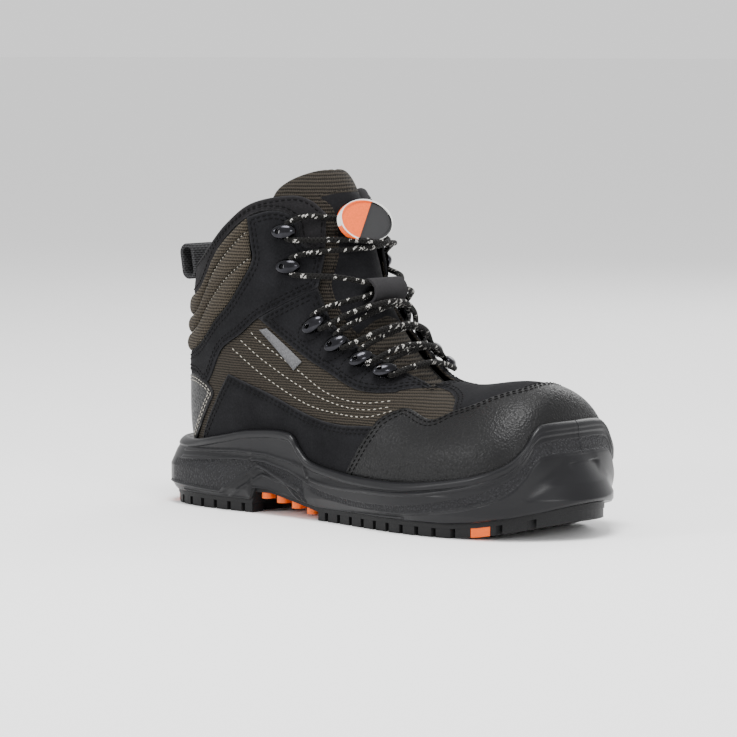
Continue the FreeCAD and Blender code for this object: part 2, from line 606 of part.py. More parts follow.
def build():
    skin = layer(0, SKIN)
    stiffeners = layer(SKIN + LAYER_GAP, STIFFENER)
    outside_solid = last(0)
    nodes = {
        "vamp": vamp(skin),
        "toe_guard": toe_guard(skin),
        "heel_patch": heel_patch(skin),
        "collar_trim": collar_trim(skin),
        "toe_cap": toe_cap(stiffeners),
        "heel_counter": heel_counter(stiffeners),
        "ankle_padding": padding(stiffeners),
        "lining": lining(),
        "insole_board": insole_board(),
        "penetration_plate": penetration_plate(),
        "footbed": footbed(),
        "tongue_pad": tongue_pad(),
        "tongue_leather": tongue_leather(112, 186),
        "tongue_badge": badge(),
        "lace_keeper": lace_keeper(),
        "lace": Part.makeCompound(lace_spans()),
        "woven_tag": woven_tag(outside_solid),
        "pull_loop": pull_loop(),
        "midsole": midsole(),
    }
    nodes["lace_aglets"] = Part.makeCompound(aglets(nodes["tongue_leather"]))
    laces = lace_spans(LAYER_GAP)
    nodes["lace_keeper"] = largest(nodes["lace_keeper"].cut(laces))
    nodes.update(collar_ribs())
    web, lugs, inserts = tread()
    nodes["outsole"] = largest(web)
    nodes["midsole"] = largest(nodes["midsole"].cut(web))
    nodes["arch_bars"] = Part.makeCompound(arch_bars(web))
    nodes["tread_lugs"] = Part.makeCompound(lugs)
    nodes.update(inserts)
    for name, side in SIDES.items():
        nodes[f"quarter_mesh_{name}"] = quarter_mesh(skin, side)
        nodes[f"side_panel_{name}"] = side_panel(skin, side)
        nodes[f"ankle_strap_{name}"] = ankle_strap(skin, side)
        nodes[f"gusset_{name}"] = gusset(side)
        for kind, places, lean in (("loop", LOOPS, FITTING_TURN[0]), ("hook", HOOKS, FITTING_TURN[1])):
            leather = "vamp" if kind == "loop" else f"ankle_strap_{name}"
            fittings, rivets, holes = lacing(outside_solid, places, lean, side)
            nodes[leather] = largest(nodes[leather].cut(holes))
            fittings = [largest(fitting.cut(laces)) for fitting in fittings]
            nodes[f"lace_{kind}s_{name}"] = Part.makeCompound(fittings)
            nodes[f"{kind}_rivets_{name}"] = Part.makeCompound(rivets)
    return nodes


def footprint_middle(nodes):
    """Middle of the boot's box seen from above, and its lowest point."""
    boxes = [shape.optimalBoundingBox(True, False) for shape in nodes.values()]
    low = V(min(b.XMin for b in boxes), min(b.YMin for b in boxes), min(b.ZMin for b in boxes))
    high = V(max(b.XMax for b in boxes), max(b.YMax for b in boxes), max(b.ZMax for b in boxes))
    print("box, mm:", [round(v, 2) for v in high - low])
    return V((low.x + high.x) / 2, (low.y + high.y) / 2, low.z)


def main():
    os.makedirs("parts", exist_ok=True)
    nodes = build()
    origin = footprint_middle(nodes)
    print("origin, drawing frame, mm:", [round(v, 3) for v in origin])
    for name, shape in nodes.items():
        shape.translate(origin * -1)
        if not shape.isValid():
            print("not valid:", name)
        shape.exportStep(f"parts/{name}.step")


if __name__ == "__main__":
    main()
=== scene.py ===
import bmesh
import bpy
import json
import numpy as np
from math import cos, pi, radians, sin
from mathutils import Matrix, Vector
from mathutils.bvhtree import BVHTree


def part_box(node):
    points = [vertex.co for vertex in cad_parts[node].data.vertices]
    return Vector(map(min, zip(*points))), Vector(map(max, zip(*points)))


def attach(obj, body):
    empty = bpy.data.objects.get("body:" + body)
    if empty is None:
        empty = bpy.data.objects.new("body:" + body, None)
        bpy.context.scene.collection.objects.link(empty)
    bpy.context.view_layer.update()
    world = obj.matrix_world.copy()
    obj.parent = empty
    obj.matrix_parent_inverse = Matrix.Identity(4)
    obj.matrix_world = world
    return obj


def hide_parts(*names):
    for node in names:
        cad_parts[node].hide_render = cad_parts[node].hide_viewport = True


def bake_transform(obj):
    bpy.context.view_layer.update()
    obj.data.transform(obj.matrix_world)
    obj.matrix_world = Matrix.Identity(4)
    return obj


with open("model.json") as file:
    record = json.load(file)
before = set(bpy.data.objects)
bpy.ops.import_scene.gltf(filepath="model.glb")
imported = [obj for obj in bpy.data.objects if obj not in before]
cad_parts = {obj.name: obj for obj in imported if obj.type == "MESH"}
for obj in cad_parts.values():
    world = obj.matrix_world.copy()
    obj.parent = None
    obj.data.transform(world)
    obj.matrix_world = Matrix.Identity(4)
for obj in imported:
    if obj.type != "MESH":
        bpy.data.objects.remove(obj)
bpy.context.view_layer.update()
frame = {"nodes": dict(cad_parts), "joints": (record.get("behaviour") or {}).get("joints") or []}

# %% [markdown]
# ## Camera, floor and light
# The boot stands on a pale studio sweep with its toe to the right and a little towards the viewer, seen
# from just above the sole. A long lens keeps the sole's edge almost straight. A soft key light above, one
# lamp at each side in front, one behind and an even white sky keep the dark leather readable without hard
# highlights.

# %% Camera
MM = 0.001
HINGE_IN_DRAWING = Vector((186.0, 0.0, 70.0))       # the tongue's hinge; the heel is at x = 0
hinges = {joint["name"]: Vector(joint["pos_m"]) for joint in frame["joints"]}
ORIGIN = HINGE_IN_DRAWING - hinges["tongue_tilt"] / MM      # the row frame's origin, in drawing millimetres
VIEW_AZIMUTH = radians(39.5)
VIEW_ELEVATION = radians(5.0)
VIEW_DISTANCE = 2.0
SKY_STRENGTH = 1.12
VIEW_TARGET = (Vector((150.0, 0.0, 85.0)) - ORIGIN) * MM

towards_camera = Vector((sin(VIEW_AZIMUTH) * cos(VIEW_ELEVATION),
                         -cos(VIEW_AZIMUTH) * cos(VIEW_ELEVATION), sin(VIEW_ELEVATION)))
lens = bpy.data.cameras.new("camera")
lens.lens = 177.3
lens.sensor_width = 36.0
lens.shift_x = -0.0373
lens.shift_y = -0.0068
lens.clip_start = 0.05
camera = bpy.data.objects.new("camera", lens)
bpy.context.scene.collection.objects.link(camera)
camera.location = VIEW_TARGET + towards_camera * VIEW_DISTANCE
camera.rotation_euler = towards_camera.to_track_quat("Z", "Y").to_euler()
bpy.context.scene.camera = camera
print("camera at", [round(v, 3) for v in camera.location])

# %% Floor and lights
FLOOR_HALF = 60.0
bm = bmesh.new()
bmesh.ops.create_grid(bm, x_segments=2, y_segments=2, size=FLOOR_HALF)
floor_mesh = bpy.data.meshes.new("floor")
bm.to_mesh(floor_mesh)
bm.free()
floor = bpy.data.objects.new("floor", floor_mesh)
bpy.context.scene.collection.objects.link(floor)
floor_paint = bpy.data.materials.new("floor_paint")
floor_paint.use_nodes = True
floor_shader = floor_paint.node_tree.nodes["Principled BSDF"]
floor_shader.inputs["Base Color"].default_value = (0.93, 0.93, 0.93, 1)
floor_shader.inputs["Roughness"].default_value = 0.9
floor_mesh.materials.append(floor_paint)


def area_light(name, place, size, watts):
    data = bpy.data.lights.new(name, "AREA")
    data.shape = "DISK"
    data.size = size
    data.energy = watts
    lamp = bpy.data.objects.new(name, data)
    bpy.context.scene.collection.objects.link(lamp)
    lamp.location = place
    aim = VIEW_TARGET - Vector(place)
    lamp.rotation_euler = (-aim).to_track_quat("Z", "Y").to_euler()


area_light("key_above", (0.25, -0.35, 1.5), 0.75, 34)
area_light("front_left", (-0.7, -1.5, 0.75), 0.5, 13)
area_light("front_right", (1.6, -0.6, 0.6), 0.45, 9)
area_light("behind", (-0.3, 1.6, 1.1), 1.2, 14)
world = bpy.data.worlds.new("studio")
bpy.context.scene.world = world
world.use_nodes = True
world.node_tree.nodes["Background"].inputs["Color"].default_value = (1.0, 1.0, 1.0, 1)
world.node_tree.nodes["Background"].inputs["Strength"].default_value = SKY_STRENGTH

# %% [markdown]
# ## The last
# Every panel of a real boot is cut flat and pulled over one last, so one surface drives all of them here as
# well: sections from toe to ankle, each a closed ring through a few half widths, with cubic curves round
# the rings and along them. A place on it is (u, v): u counts the sections from the toe, and v runs round a
# section from the back or sole line (0) over the lateral side to the ridge (0.5) and down the medial side
# (1).

# %% Sections of the last, drawing millimetres
FRACTIONS = (0.10, 0.28, 0.52, 0.78, 0.95)
# ridge x, ridge z, back x, back z, centre y, lateral half widths, how much slimmer the medial side is
STATIONS = (
    (274, 49, 276, 33, 0, (6, 10, 12, 11, 8), 1),
    (270, 62, 273, 24, 0, (14, 23, 27, 26, 18), 2),
    (264, 74, 267, 18, 1, (19, 31, 38, 39, 31), 2),
    (253, 79, 257, 16, 1, (23, 37, 46, 47, 40), 2),
    (236, 80, 238, 15, 1, (25, 40, 50, 52, 44), 3),
    (214, 77, 210, 15, 1, (24, 40, 51, 53, 44), 5),
    (194, 77, 180, 16, 0, (24, 40, 48, 50, 41), 6),
    (175, 83, 150, 16.5, 0, (25, 40, 46, 45, 37), 5),
    (159, 97, 118, 16.5, 0, (25, 40, 44, 42, 34), 3),
    (147, 114, 80, 16.5, 0, (25, 40, 43, 39, 34), 2),
    (139, 130, 34, 16.5, 1, (25, 41, 43, 37, 29), 0),
    (133, 146, 10, 34, 2, (26, 42, 44, 35, 21), 0),
    (128, 160, 5, 62, 3, (26, 43, 45, 34, 18), 0),
    (123, 172, 6, 86, 3, (26, 43, 45, 34, 18), 0),
    (118, 182, 9, 110, 3, (25, 43, 45, 34, 18), 0),
    (112, 192, 13, 134, 3, (25, 42, 45, 34, 18), 0),
    (106, 202, 17, 158, 3, (25, 42, 45, 34, 18), 0),
)
LAST_U = len(STATIONS) - 1


def station_ring(station):
    ridge_x, ridge_z, back_x, back_z, middle, widths, slimmer = station
    ridge = np.array((ridge_x, middle, ridge_z), float)
    back = np.array((back_x, middle, back_z), float)
    lateral, medial = [], []
    for fraction, width in zip(FRACTIONS, widths):
        at = ridge + (back - ridge) * fraction
        lateral.append(at - (0, width, 0))
        medial.append(at + (0, width - slimmer * min(1.0, max(0.0, 3 * fraction - 0.75)), 0))
    return [back] + lateral[::-1] + [ridge] + medial


RINGS = np.array([station_ring(station) for station in STATIONS])


def spline_solver(count, periodic):
    """Matrix from the values at evenly spaced knots to the second derivatives of their cubic spline."""
    left, right = np.zeros((count, count)), np.zeros((count, count))
    for k in range(count):
        before, after = (k - 1) % count, (k + 1) % count
        if not periodic and k in (0, count - 1):
            inner = 1 if k == 0 else -1
            left[k, k], left[k, k + inner], left[k, k + 2 * inner] = 1, -2, 1
            continue
        left[k, before], left[k, k], left[k, after] = 1, 4, 1
        right[k, before], right[k, k], right[k, after] = 6, -12, 6
    return np.linalg.solve(left, right)


def spline_weights(at, count, periodic, solved):
    """Weight of each knot's value at the places given."""
    at = np.mod(at, count) if periodic else np.clip(at, 0, count - 1)
    low = np.minimum(np.floor(at).astype(int), count - (1 if periodic else 2))
    high = (low + 1) % count
    b = (at - low)[:, None]
    a = 1 - b
    unit = np.eye(count)
    return (a * unit[low] + b * unit[high]
            + ((a ** 3 - a) * solved[low] + (b ** 3 - b) * solved[high]) / 6)


SOLVED_U = spline_solver(LAST_U + 1, False)
SOLVED_V = spline_solver(12, True)
NUDGE = 0.01


def on_last(u, v):
    """Drawing millimetres of places on the outside of the last."""
    weights_u = spline_weights(np.asarray(u, float), LAST_U + 1, False, SOLVED_U)
    weights_v = spline_weights(np.asarray(v, float) * 12, 12, True, SOLVED_V)
    return np.einsum("ni,nk,ikc->nc", weights_u, weights_v, RINGS, optimize=True)


def last_normal(u, v):
    u = np.clip(np.asarray(u, float), NUDGE, LAST_U - NUDGE)
    v = np.asarray(v, float)
    along_u = on_last(u + NUDGE, v) - on_last(u - NUDGE, v)
    along_v = on_last(u, v + NUDGE / 10) - on_last(u, v - NUDGE / 10)
    out = np.cross(along_v, along_u)
    return out / np.linalg.norm(out, axis=1, keepdims=True)


def lasted(u, v, height):
    """Drawing millimetres of places this far off the last, positive outwards."""
    return on_last(u, v) + last_normal(u, v) * np.reshape(height, (-1, 1))


probe = last_normal([8.0], [0.25])[0]
print("lateral normal, y should be negative:", np.round(probe, 2))
assert probe[1] < 0

# %% Finding places on the last from a side view or from above
SEARCH_U = np.linspace(0, LAST_U, 161)
SIDE_SPANS = {"lateral": (0.0, 0.5), "medial": (0.5, 1.0)}
TOP_SPANS = {"lateral": (0.25, 0.5), "medial": (0.5, 0.75)}


def find(points, side, above=False):
    """(u, v) of points drawn as (x, z) or, from above, as (x, y). Points off the last go to its edge."""
    low, high = (TOP_SPANS if above else SIDE_SPANS)[side]
    axes = (0, 1) if above else (0, 2)
    grid_u, grid_v = np.meshgrid(SEARCH_U, np.linspace(low, high, 61), indexing="ij")
    grid_u, grid_v = grid_u.ravel(), grid_v.ravel()
    seen = on_last(grid_u, grid_v)[:, axes]
    points = np.asarray(points, float)
    nearest = [int(np.argmin(((seen - p) ** 2).sum(1))) for p in points]
    u, v = grid_u[nearest], grid_v[nearest]
    step_u, step_v = 0.1, (high - low) / 60
    steps_u, steps_v = [s.ravel() for s in np.meshgrid((-1, -0.5, 0, 0.5, 1), (-1, -0.5, 0, 0.5, 1))]
    for _ in range(7):
        try_u = np.clip(u[:, None] + steps_u * step_u, 0, LAST_U)
        try_v = np.clip(v[:, None] + steps_v * step_v, low, high)
        there = on_last(try_u.ravel(), try_v.ravel())[:, axes].reshape(len(u), 25, 2)
        best = ((there - points[:, None, :]) ** 2).sum(2).argmin(1)
        rows = np.arange(len(u))
        u, v = try_u[rows, best], try_v[rows, best]
        step_u, step_v = step_u * 0.5, step_v * 0.5
    return np.column_stack([u, v])


def smooth(points, step=1.5):
    """Catmull-Rom curve through drawn points, sampled about every step millimetres."""
    points = np.asarray(points, float)
    if len(points) < 3:
        count = max(2, int(np.linalg.norm(points[-1] - points[0]) / step))
        return points[0] + (points[-1] - points[0]) * np.linspace(0, 1, count)[:, None]
    padded = np.vstack([2 * points[0] - points[1], points, 2 * points[-1] - points[-2]])
    out = []
    for a, b, c, d in zip(padded, padded[1:], padded[2:], padded[3:]):
        count = max(2, int(np.linalg.norm(c - b) / step))
        t = np.arange(count)[:, None] / count
        out.append(0.5 * (2 * b + (c - a) * t + (2 * a - 5 * b + 4 * c - d) * t ** 2
                          + (3 * b - a - 3 * c + d) * t ** 3))
    return np.vstack(out + [points[-1:]])

# %% [markdown]
# ## Cutting and lasting a panel
# A panel is drawn as an outline, cut as a flat piece in (u, v), sliced into a fine grid so that it can curve,
# and pulled over the last. Its border is pressed down a little, as stitching does, and each point keeps its
# distance from the cut edge, which the finishes use for worn edges and needle grooves.

# %% Panel outlines, drawing millimetres: x and z in side view, x and y from above
THROAT_EDGE = ((118, 145), (118, 127), (127, 111), (141, 99), (155, 91), (167, 84), (177, 79.5), (188, 75.5))
OPENING_EDGE = ((10, 133), (35, 141), (63, 161), (80, 172.5), (98, 177), (107, 174.5), (115, 167))
TRIM_LOWER = ((6, 116), (34, 124), (54, 146), (78, 165), (93, 169), (103, 164), (108, 151), (118, 145))
RIB_LINE_1 = ((6, 105), (30, 111), (53, 136), (79.4, 158))
RIB_LINE_2 = ((6, 94), (29, 101), (48, 118), (63, 131), (81, 143))
STRAP_UPPER = ((6, 84), (31, 91), (51, 106.5), (66, 118.5), (81, 139), (81, 150), (78, 165))
STRAP_LOWER = ((6, 73.5), (27, 74), (41, 71), (56, 90), (73, 100), (86, 109.5), (100, 117), (109, 122),
               (118, 127))
PATCH_EDGE = ((41, 71), (47, 65), (41, 57), (31, 44), (20, 30), (14, 17))
SIDE_REAR_EDGE = ((28, 17), (35, 41), (49, 61), (62, 77))
SIDE_TOP_EDGE = ((62, 77), (94, 68), (124, 58), (147, 54.5), (171, 55), (192, 53))
VAMP_EDGE = ((86, 109.5), (114, 92), (134, 82.5), (151, 74.5), (163, 72.5), (174, 73))
VAMP_EDGE_TOP = ((174, -28), (183, -19), (191, -13), (200, -15), (210, -23), (217, -33), (232, -40))
GUARD_EDGE = ((150, 17), (152, 29), (159, 39), (171, 55))
GUARD_EDGE_TOP = ((171, -44), (181, -38), (188, -35), (206, -38), (217, -33), (232, -28), (247, -14),
                  (250, 0))
RIM_EDGE = ((-30, 37), (23, 37), (51, 41), (78, 46), (108, 47), (117, 39), (126, 32), (150, 28), (180, 27),
            (208, 28), (242, 33), (261, 40), (270, 49), (275, 58), (282, 61), (310, 61))
SOLE_V = 0.035          # panels are tucked under and end this far round from the sole line


def mirrored(points):
    return [(x, -y) for x, y in points]


def both_sides(points, joint="ridge", above=False, step=1.5):
    """One edge drawn from the middle line outwards, as (u, v) from the medial end to the lateral end."""
    lateral = find(smooth(points, step), "lateral", above)
    medial = find(smooth(mirrored(points) if above else points, step), "medial", above)
    if joint == "back":
        medial[:, 1] -= 1.0
    middle = 0.5 if joint == "ridge" else 0.0
    lateral[0, 1] = medial[0, 1] = middle
    return np.vstack([medial[::-1], lateral[1:]])


CELL_U, CELL_V = 1 / 12, 1 / 110
FLAT = 20.0             # (u, v) to flat piece: u as it is, v this many times


def boundary_distance(points, border):
    """Distance in millimetres of each point from a closed line."""
    ends = np.roll(border, -1, axis=0)
    nearest = np.full(len(points), 1e9)
    for first in range(0, len(border), 60):
        a, b = border[first:first + 60], ends[first:first + 60]
        run = b - a
        size = np.maximum((run ** 2).sum(1), 1e-12)
        t = np.clip(((points[:, None, :] - a) * run).sum(2) / size, 0, 1)
        gap = points[:, None, :] - (a + t[..., None] * run)
        nearest = np.minimum(nearest, (gap ** 2).sum(2).min(1))
    return np.sqrt(nearest)


def to_row(points):
    """Drawing millimetres to the row frame's metres."""
    return (np.asarray(points, float) - np.array(ORIGIN)) * MM


def cut_flat(outline):
    """Flat n-gon of the outline, sliced into cells. X is u, Y is v times FLAT."""
    bm = bmesh.new()
    corners = [bm.verts.new((u, v * FLAT, 0)) for u, v in outline]
    bm.faces.new(corners)
    bmesh.ops.remove_doubles(bm, verts=bm.verts[:], dist=0.002)
    low, high = np.min(outline, axis=0), np.max(outline, axis=0)
    for axis, cell, scale in ((0, CELL_U, 1.0), (1, CELL_V, FLAT)):
        ahead = bm.faces[:]                     # what lies beyond the last cut
        for k in range(int(np.ceil(low[axis] / cell)), int(high[axis] / cell) + 1):
            plane, normal = Vector((0, 0, 0)), Vector((0, 0, 0))
            plane[axis], normal[axis] = k * cell * scale, 1
            near = {edge for face in ahead for edge in face.edges}
            near |= {vert for face in ahead for vert in face.verts}
            cut = bmesh.ops.bisect_plane(bm, geom=ahead + list(near), dist=0.0005, plane_co=plane,
                                         plane_no=normal)["geom"]
            ahead = [item for item in cut if isinstance(item, bmesh.types.BMFace)
                     and max(vert.co[axis] for vert in item.verts) > plane[axis] + 0.001]
    return bm


def finish_object(bm, name, body, material, smooth_faces=True):
    for face in bm.faces:
        face.smooth = smooth_faces
    mesh = bpy.data.meshes.new(name)
    bm.to_mesh(mesh)
    bm.free()
    piece = bpy.data.objects.new(name, mesh)
    bpy.context.scene.collection.objects.link(piece)
    mesh.materials.append(material)
    if body:
        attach(piece, body)
    return piece


def flat_border(height):
    return lambda distance: np.full(len(distance), height)


def pressed(height, drop=0.5, width=2.6):
    """Height off the last: full inside, a little lower at the cut edge."""
    def profile(distance):
        t = np.clip(distance / width, 0, 1)
        return height - drop * (1 - t) ** 2
    return profile


def pillow(height, bulge, width):
    """Height off the last of a padded piece: rounded up from its seams."""
    def profile(distance):
        t = np.clip(distance / width, 0, 1)
        return height + bulge * np.sqrt(1 - (1 - t) ** 2)
    return profile


PANELS = {}


def panel(name, outline, body, material, profile, thick=1.3):
    """Cuts, lasts and closes a panel. Its (u, v) outline is kept for the stitching."""
    outline = np.asarray(outline, float)
    bm = cut_flat(outline)
    flat = np.array([vert.co for vert in bm.verts])
    u, v = flat[:, 0], flat[:, 1] / FLAT
    border = on_last(outline[:, 0], outline[:, 1])
    skin = on_last(u, v)
    distance = boundary_distance(skin, border)
    placed = to_row(lasted(u, v, profile(distance)))
    edge_layer = bm.verts.layers.float.new("edge_mm")
    for vert, place, gap in zip(bm.verts, placed, distance):
        vert.co = place
        vert[edge_layer] = gap
    bmesh.ops.recalc_face_normals(bm, faces=bm.faces[:])
    bm.verts.index_update()
    normals = last_normal(u, v)
    agree = sum(Vector(normals[face.verts[0].index]).dot(face.normal) for face in bm.faces)
    if agree < 0:
        bmesh.ops.reverse_faces(bm, faces=bm.faces[:])
    bm.normal_update()
    bmesh.ops.solidify(bm, geom=bm.faces[:], thickness=thick * MM)
    bmesh.ops.recalc_face_normals(bm, faces=bm.faces[:])
    piece = finish_object(bm, name, body, material)
    PANELS[name] = {"outline": outline, "profile": profile, "border": border, "piece": piece}
    print(name, len(piece.data.polygons), "faces")
    return piece

# %% [markdown]
# ## Finishes
# The boot has few materials, each with its own structure: nubuck with a fine nap and scuffed edges, pebble
# grain leather with a waxy shine, a ribbed mesh, a padded rib knit, moulded polyurethane with a satin skin
# and stippled panels, tread rubber, dark cast metal and braided cord. Shared effects are small node groups.

# %% Node helpers
class Graph:
    """Short way to write shader nodes."""

    def __init__(self, tree):
        self.tree = tree

    def node(self, kind, inputs=None, **settings):
        made = self.tree.nodes.new(kind)
        for key, value in settings.items():
            setattr(made, key, value)
        for key, value in (inputs or {}).items():
            socket = made.inputs[key]
            if isinstance(value, bpy.types.NodeSocket):
                self.tree.links.new(value, socket)
            else:
                socket.default_value = value
        return made

    def math(self, operation, a, b=0.0, clamp=False):
        return self.node("ShaderNodeMath", {0: a, 1: b}, operation=operation, use_clamp=clamp).outputs[0]

    def mix(self, factor, a, b):
        made = self.node("ShaderNodeMix", {"Factor": factor, "A": a, "B": b}, data_type="RGBA")
        return made.outputs["Result"]

    def ramp(self, value, low, high, to_low=0.0, to_high=1.0):
        inputs = {"Value": value, "From Min": low, "From Max": high, "To Min": to_low, "To Max": to_high}
        return self.node("ShaderNodeMapRange", inputs).outputs["Result"]

    def place(self):
        return self.node("ShaderNodeTexCoord").outputs["Object"]

    def attribute(self, name, output="Fac"):
        return self.node("ShaderNodeAttribute", attribute_name=name).outputs[output]


def effect(name, inputs, outputs):
    """New node group with named number, vector or colour sockets; returns it with its Graph."""
    group = bpy.data.node_groups.new(name, "ShaderNodeTree")
    kinds = {"value": "NodeSocketFloat", "vector": "NodeSocketVector", "color": "NodeSocketColor"}
    for label, kind, default in inputs:
        socket = group.interface.new_socket(name=label, in_out="INPUT", socket_type=kinds[kind])
        if default is not None:
            socket.default_value = default
    for label, kind in outputs:
        group.interface.new_socket(name=label, in_out="OUTPUT", socket_type=kinds[kind])
    graph = Graph(group)
    ins = group.nodes.new("NodeGroupInput")
    outs = group.nodes.new("NodeGroupOutput")
    return group, graph, ins.outputs, outs.inputs


# %% Effect: nap of nubuck, blotchy tone and very fine fibres
nap, g, ins, outs = effect("nap", [("Place", "vector", None), ("Size", "value", 900.0)],
                           [("Tone", "value"), ("Height", "value")])
blotch = g.node("ShaderNodeTexNoise", {"Vector": ins["Place"], "Scale": 55.0, "Detail": 5.0,
                                       "Roughness": 0.6})
fibre = g.node("ShaderNodeTexNoise", {"Vector": ins["Place"], "Scale": ins["Size"], "Detail": 3.0,
                                      "Roughness": 0.7})
tone = g.math("MULTIPLY", g.ramp(blotch.outputs["Fac"], 0.3, 0.7, 0.80, 1.22),
              g.ramp(fibre.outputs["Fac"], 0.3, 0.7, 0.80, 1.2))
g.tree.links.new(tone, outs["Tone"])
g.tree.links.new(g.math("ADD", fibre.outputs["Fac"], g.math("MULTIPLY", blotch.outputs["Fac"], 0.6)),
                 outs["Height"])

# %% Effect: pebble grain, rounded cells, with painted shade darkening the creases between them
pebble, g, ins, outs = effect("pebble", [("Place", "vector", None), ("Size", "value", 520.0)],
                              [("Tone", "value"), ("Height", "value")])
wobble = g.node("ShaderNodeTexNoise", {"Vector": ins["Place"], "Scale": 300.0, "Detail": 2.0})
shaken = g.node("ShaderNodeVectorMath", {0: ins["Place"], 1: g.node(
    "ShaderNodeVectorMath", {0: wobble.outputs["Color"], 1: (0.0016, 0.0016, 0.0016)},
    operation="MULTIPLY").outputs[0]}, operation="ADD").outputs[0]
cells = g.node("ShaderNodeTexVoronoi", {"Vector": shaken, "Scale": ins["Size"]}, feature="SMOOTH_F1")
ridges = g.ramp(cells.outputs["Distance"], 0.15, 0.75, 1.0, 0.0)
# Painted shade: the tone follows the grain's height, from 1.1 on the pebbles' tops to 0.6 in the creases.
g.tree.links.new(g.ramp(ridges, 0.0, 0.8, 0.6, 1.1), outs["Tone"])
g.tree.links.new(ridges, outs["Height"])

# %% Effect: parallel rounded ribs with small loops along them, for mesh and knit
ribs, g, ins, outs = effect("ribs", [("Across", "value", 0.0), ("Along", "value", 0.0),
                                     ("Pitch", "value", 1.6), ("Loop", "value", 1.0)],
                            [("Rib", "value"), ("Height", "value")])
phase = g.math("MULTIPLY", g.math("DIVIDE", ins["Across"], ins["Pitch"]), 2 * pi)
wave = g.ramp(g.math("SINE", phase), -1.0, 1.0)
row = g.math("FLOOR", g.math("DIVIDE", ins["Across"], ins["Pitch"]))
shift = g.math("MULTIPLY", row, pi)
loops = g.ramp(g.math("SINE", g.math("ADD", g.math("MULTIPLY", g.math("DIVIDE", ins["Along"], ins["Loop"]),
                                                    2 * pi), shift)), -1.0, 1.0)
g.tree.links.new(wave, outs["Rib"])
g.tree.links.new(g.math("ADD", wave, g.math("MULTIPLY", loops, 0.7)), outs["Height"])

# %% Effect: what a cut and stitched edge does, from the distance to it in millimetres
worn_edge, g, ins, outs = effect("worn_edge", [("Distance", "value", 5.0), ("Place", "vector", None)],
                                 [("Wear", "value"), ("Groove", "value")])
rough_line = g.node("ShaderNodeTexNoise", {"Vector": ins["Place"], "Scale": 350.0, "Detail": 3.0})
away = g.math("ADD", ins["Distance"], g.ramp(rough_line.outputs["Fac"], 0.2, 0.8, -0.35, 0.35))
g.tree.links.new(g.ramp(away, 0.1, 0.9, 1.0, 0.0), outs["Wear"])
from_row = g.math("ABSOLUTE", g.math("SUBTRACT", ins["Distance"], 2.2))
g.tree.links.new(g.ramp(from_row, 0.0, 0.7, 1.0, 0.0), outs["Groove"])


# %% Materials
def finish_base(name, **constants):
    """Material with a Principled shader; constant values go straight on its sockets."""
    made = bpy.data.materials.new(name)
    made.use_nodes = True
    shader = made.node_tree.nodes["Principled BSDF"]
    for key, value in constants.items():
        shader.inputs[key.replace("_", " ")].default_value = value
    return made, Graph(made.node_tree), shader


def use(graph, group, **inputs):
    made = graph.node("ShaderNodeGroup", node_tree=group)
    for key, value in inputs.items():
        if isinstance(value, bpy.types.NodeSocket):
            graph.tree.links.new(value, made.inputs[key])
        else:
            made.inputs[key].default_value = value
    return made.outputs


def colour(rgb):
    return (rgb[0], rgb[1], rgb[2], 1.0)


def tinted(graph, rgb, tone):
    """Colour times a brightness value."""
    scaled = graph.node("ShaderNodeVectorMath", {0: rgb, "Scale": tone}, operation="SCALE")
    return scaled.outputs[0]


def bump_into(graph, shader, height, distance, strength=1.0):
    made = graph.node("ShaderNodeBump", {"Height": height, "Distance": distance, "Strength": strength})
    graph.tree.links.new(made.outputs[0], shader.inputs["Normal"])
    return made


def nubuck_finish(name, rgb, edge=True):
    made, g, shader = finish_base(name, Sheen_Weight=0.015, Sheen_Roughness=0.5, Specular_IOR_Level=0.05)
    place = g.place()
    fuzz = use(g, nap, Place=place)
    base = tinted(g, rgb, fuzz["Tone"])
    height = fuzz["Height"]
    if edge:
        lines = use(g, worn_edge, Distance=g.attribute("edge_mm"), Place=place)
        worn = tuple(min(1.0, c * 1.7 + 0.01) for c in rgb)
        base = g.mix(g.math("MULTIPLY", lines["Wear"], 0.6), base, colour(worn))
        height = g.math("SUBTRACT", height, g.math("MULTIPLY", lines["Groove"], 0.9))
    g.tree.links.new(base, shader.inputs["Base Color"])
    g.tree.links.new(g.ramp(fuzz["Tone"], 0.7, 1.3, 0.95, 0.78), shader.inputs["Roughness"])
    bump_into(g, shader, height, 0.00028, 0.8)
    return made


def pebble_finish(name, rgb):
    made, g, shader = finish_base(name, Specular_IOR_Level=0.20)
    place = g.place()
    grain = use(g, pebble, Place=place, Size=900.0)
    lines = use(g, worn_edge, Distance=g.attribute("edge_mm"), Place=place)
    patina = g.node("ShaderNodeTexNoise", {"Vector": place, "Scale": 40.0, "Detail": 4.0}).outputs["Fac"]
    # The grain's tone holds painted shade in the creases; the patina noise is a random tone of the leather.
    base = tinted(g, rgb, g.math("MULTIPLY", grain["Tone"], g.ramp(patina, 0.3, 0.7, 0.8, 1.25)))
    g.tree.links.new(base, shader.inputs["Base Color"])
    g.tree.links.new(g.ramp(grain["Tone"], 0.6, 1.1, 0.62, 0.36), shader.inputs["Roughness"])
    height = g.math("SUBTRACT", grain["Height"], g.math("MULTIPLY", lines["Groove"], 1.2))
    bump_into(g, shader, height, 0.0002, 0.9)
    return made


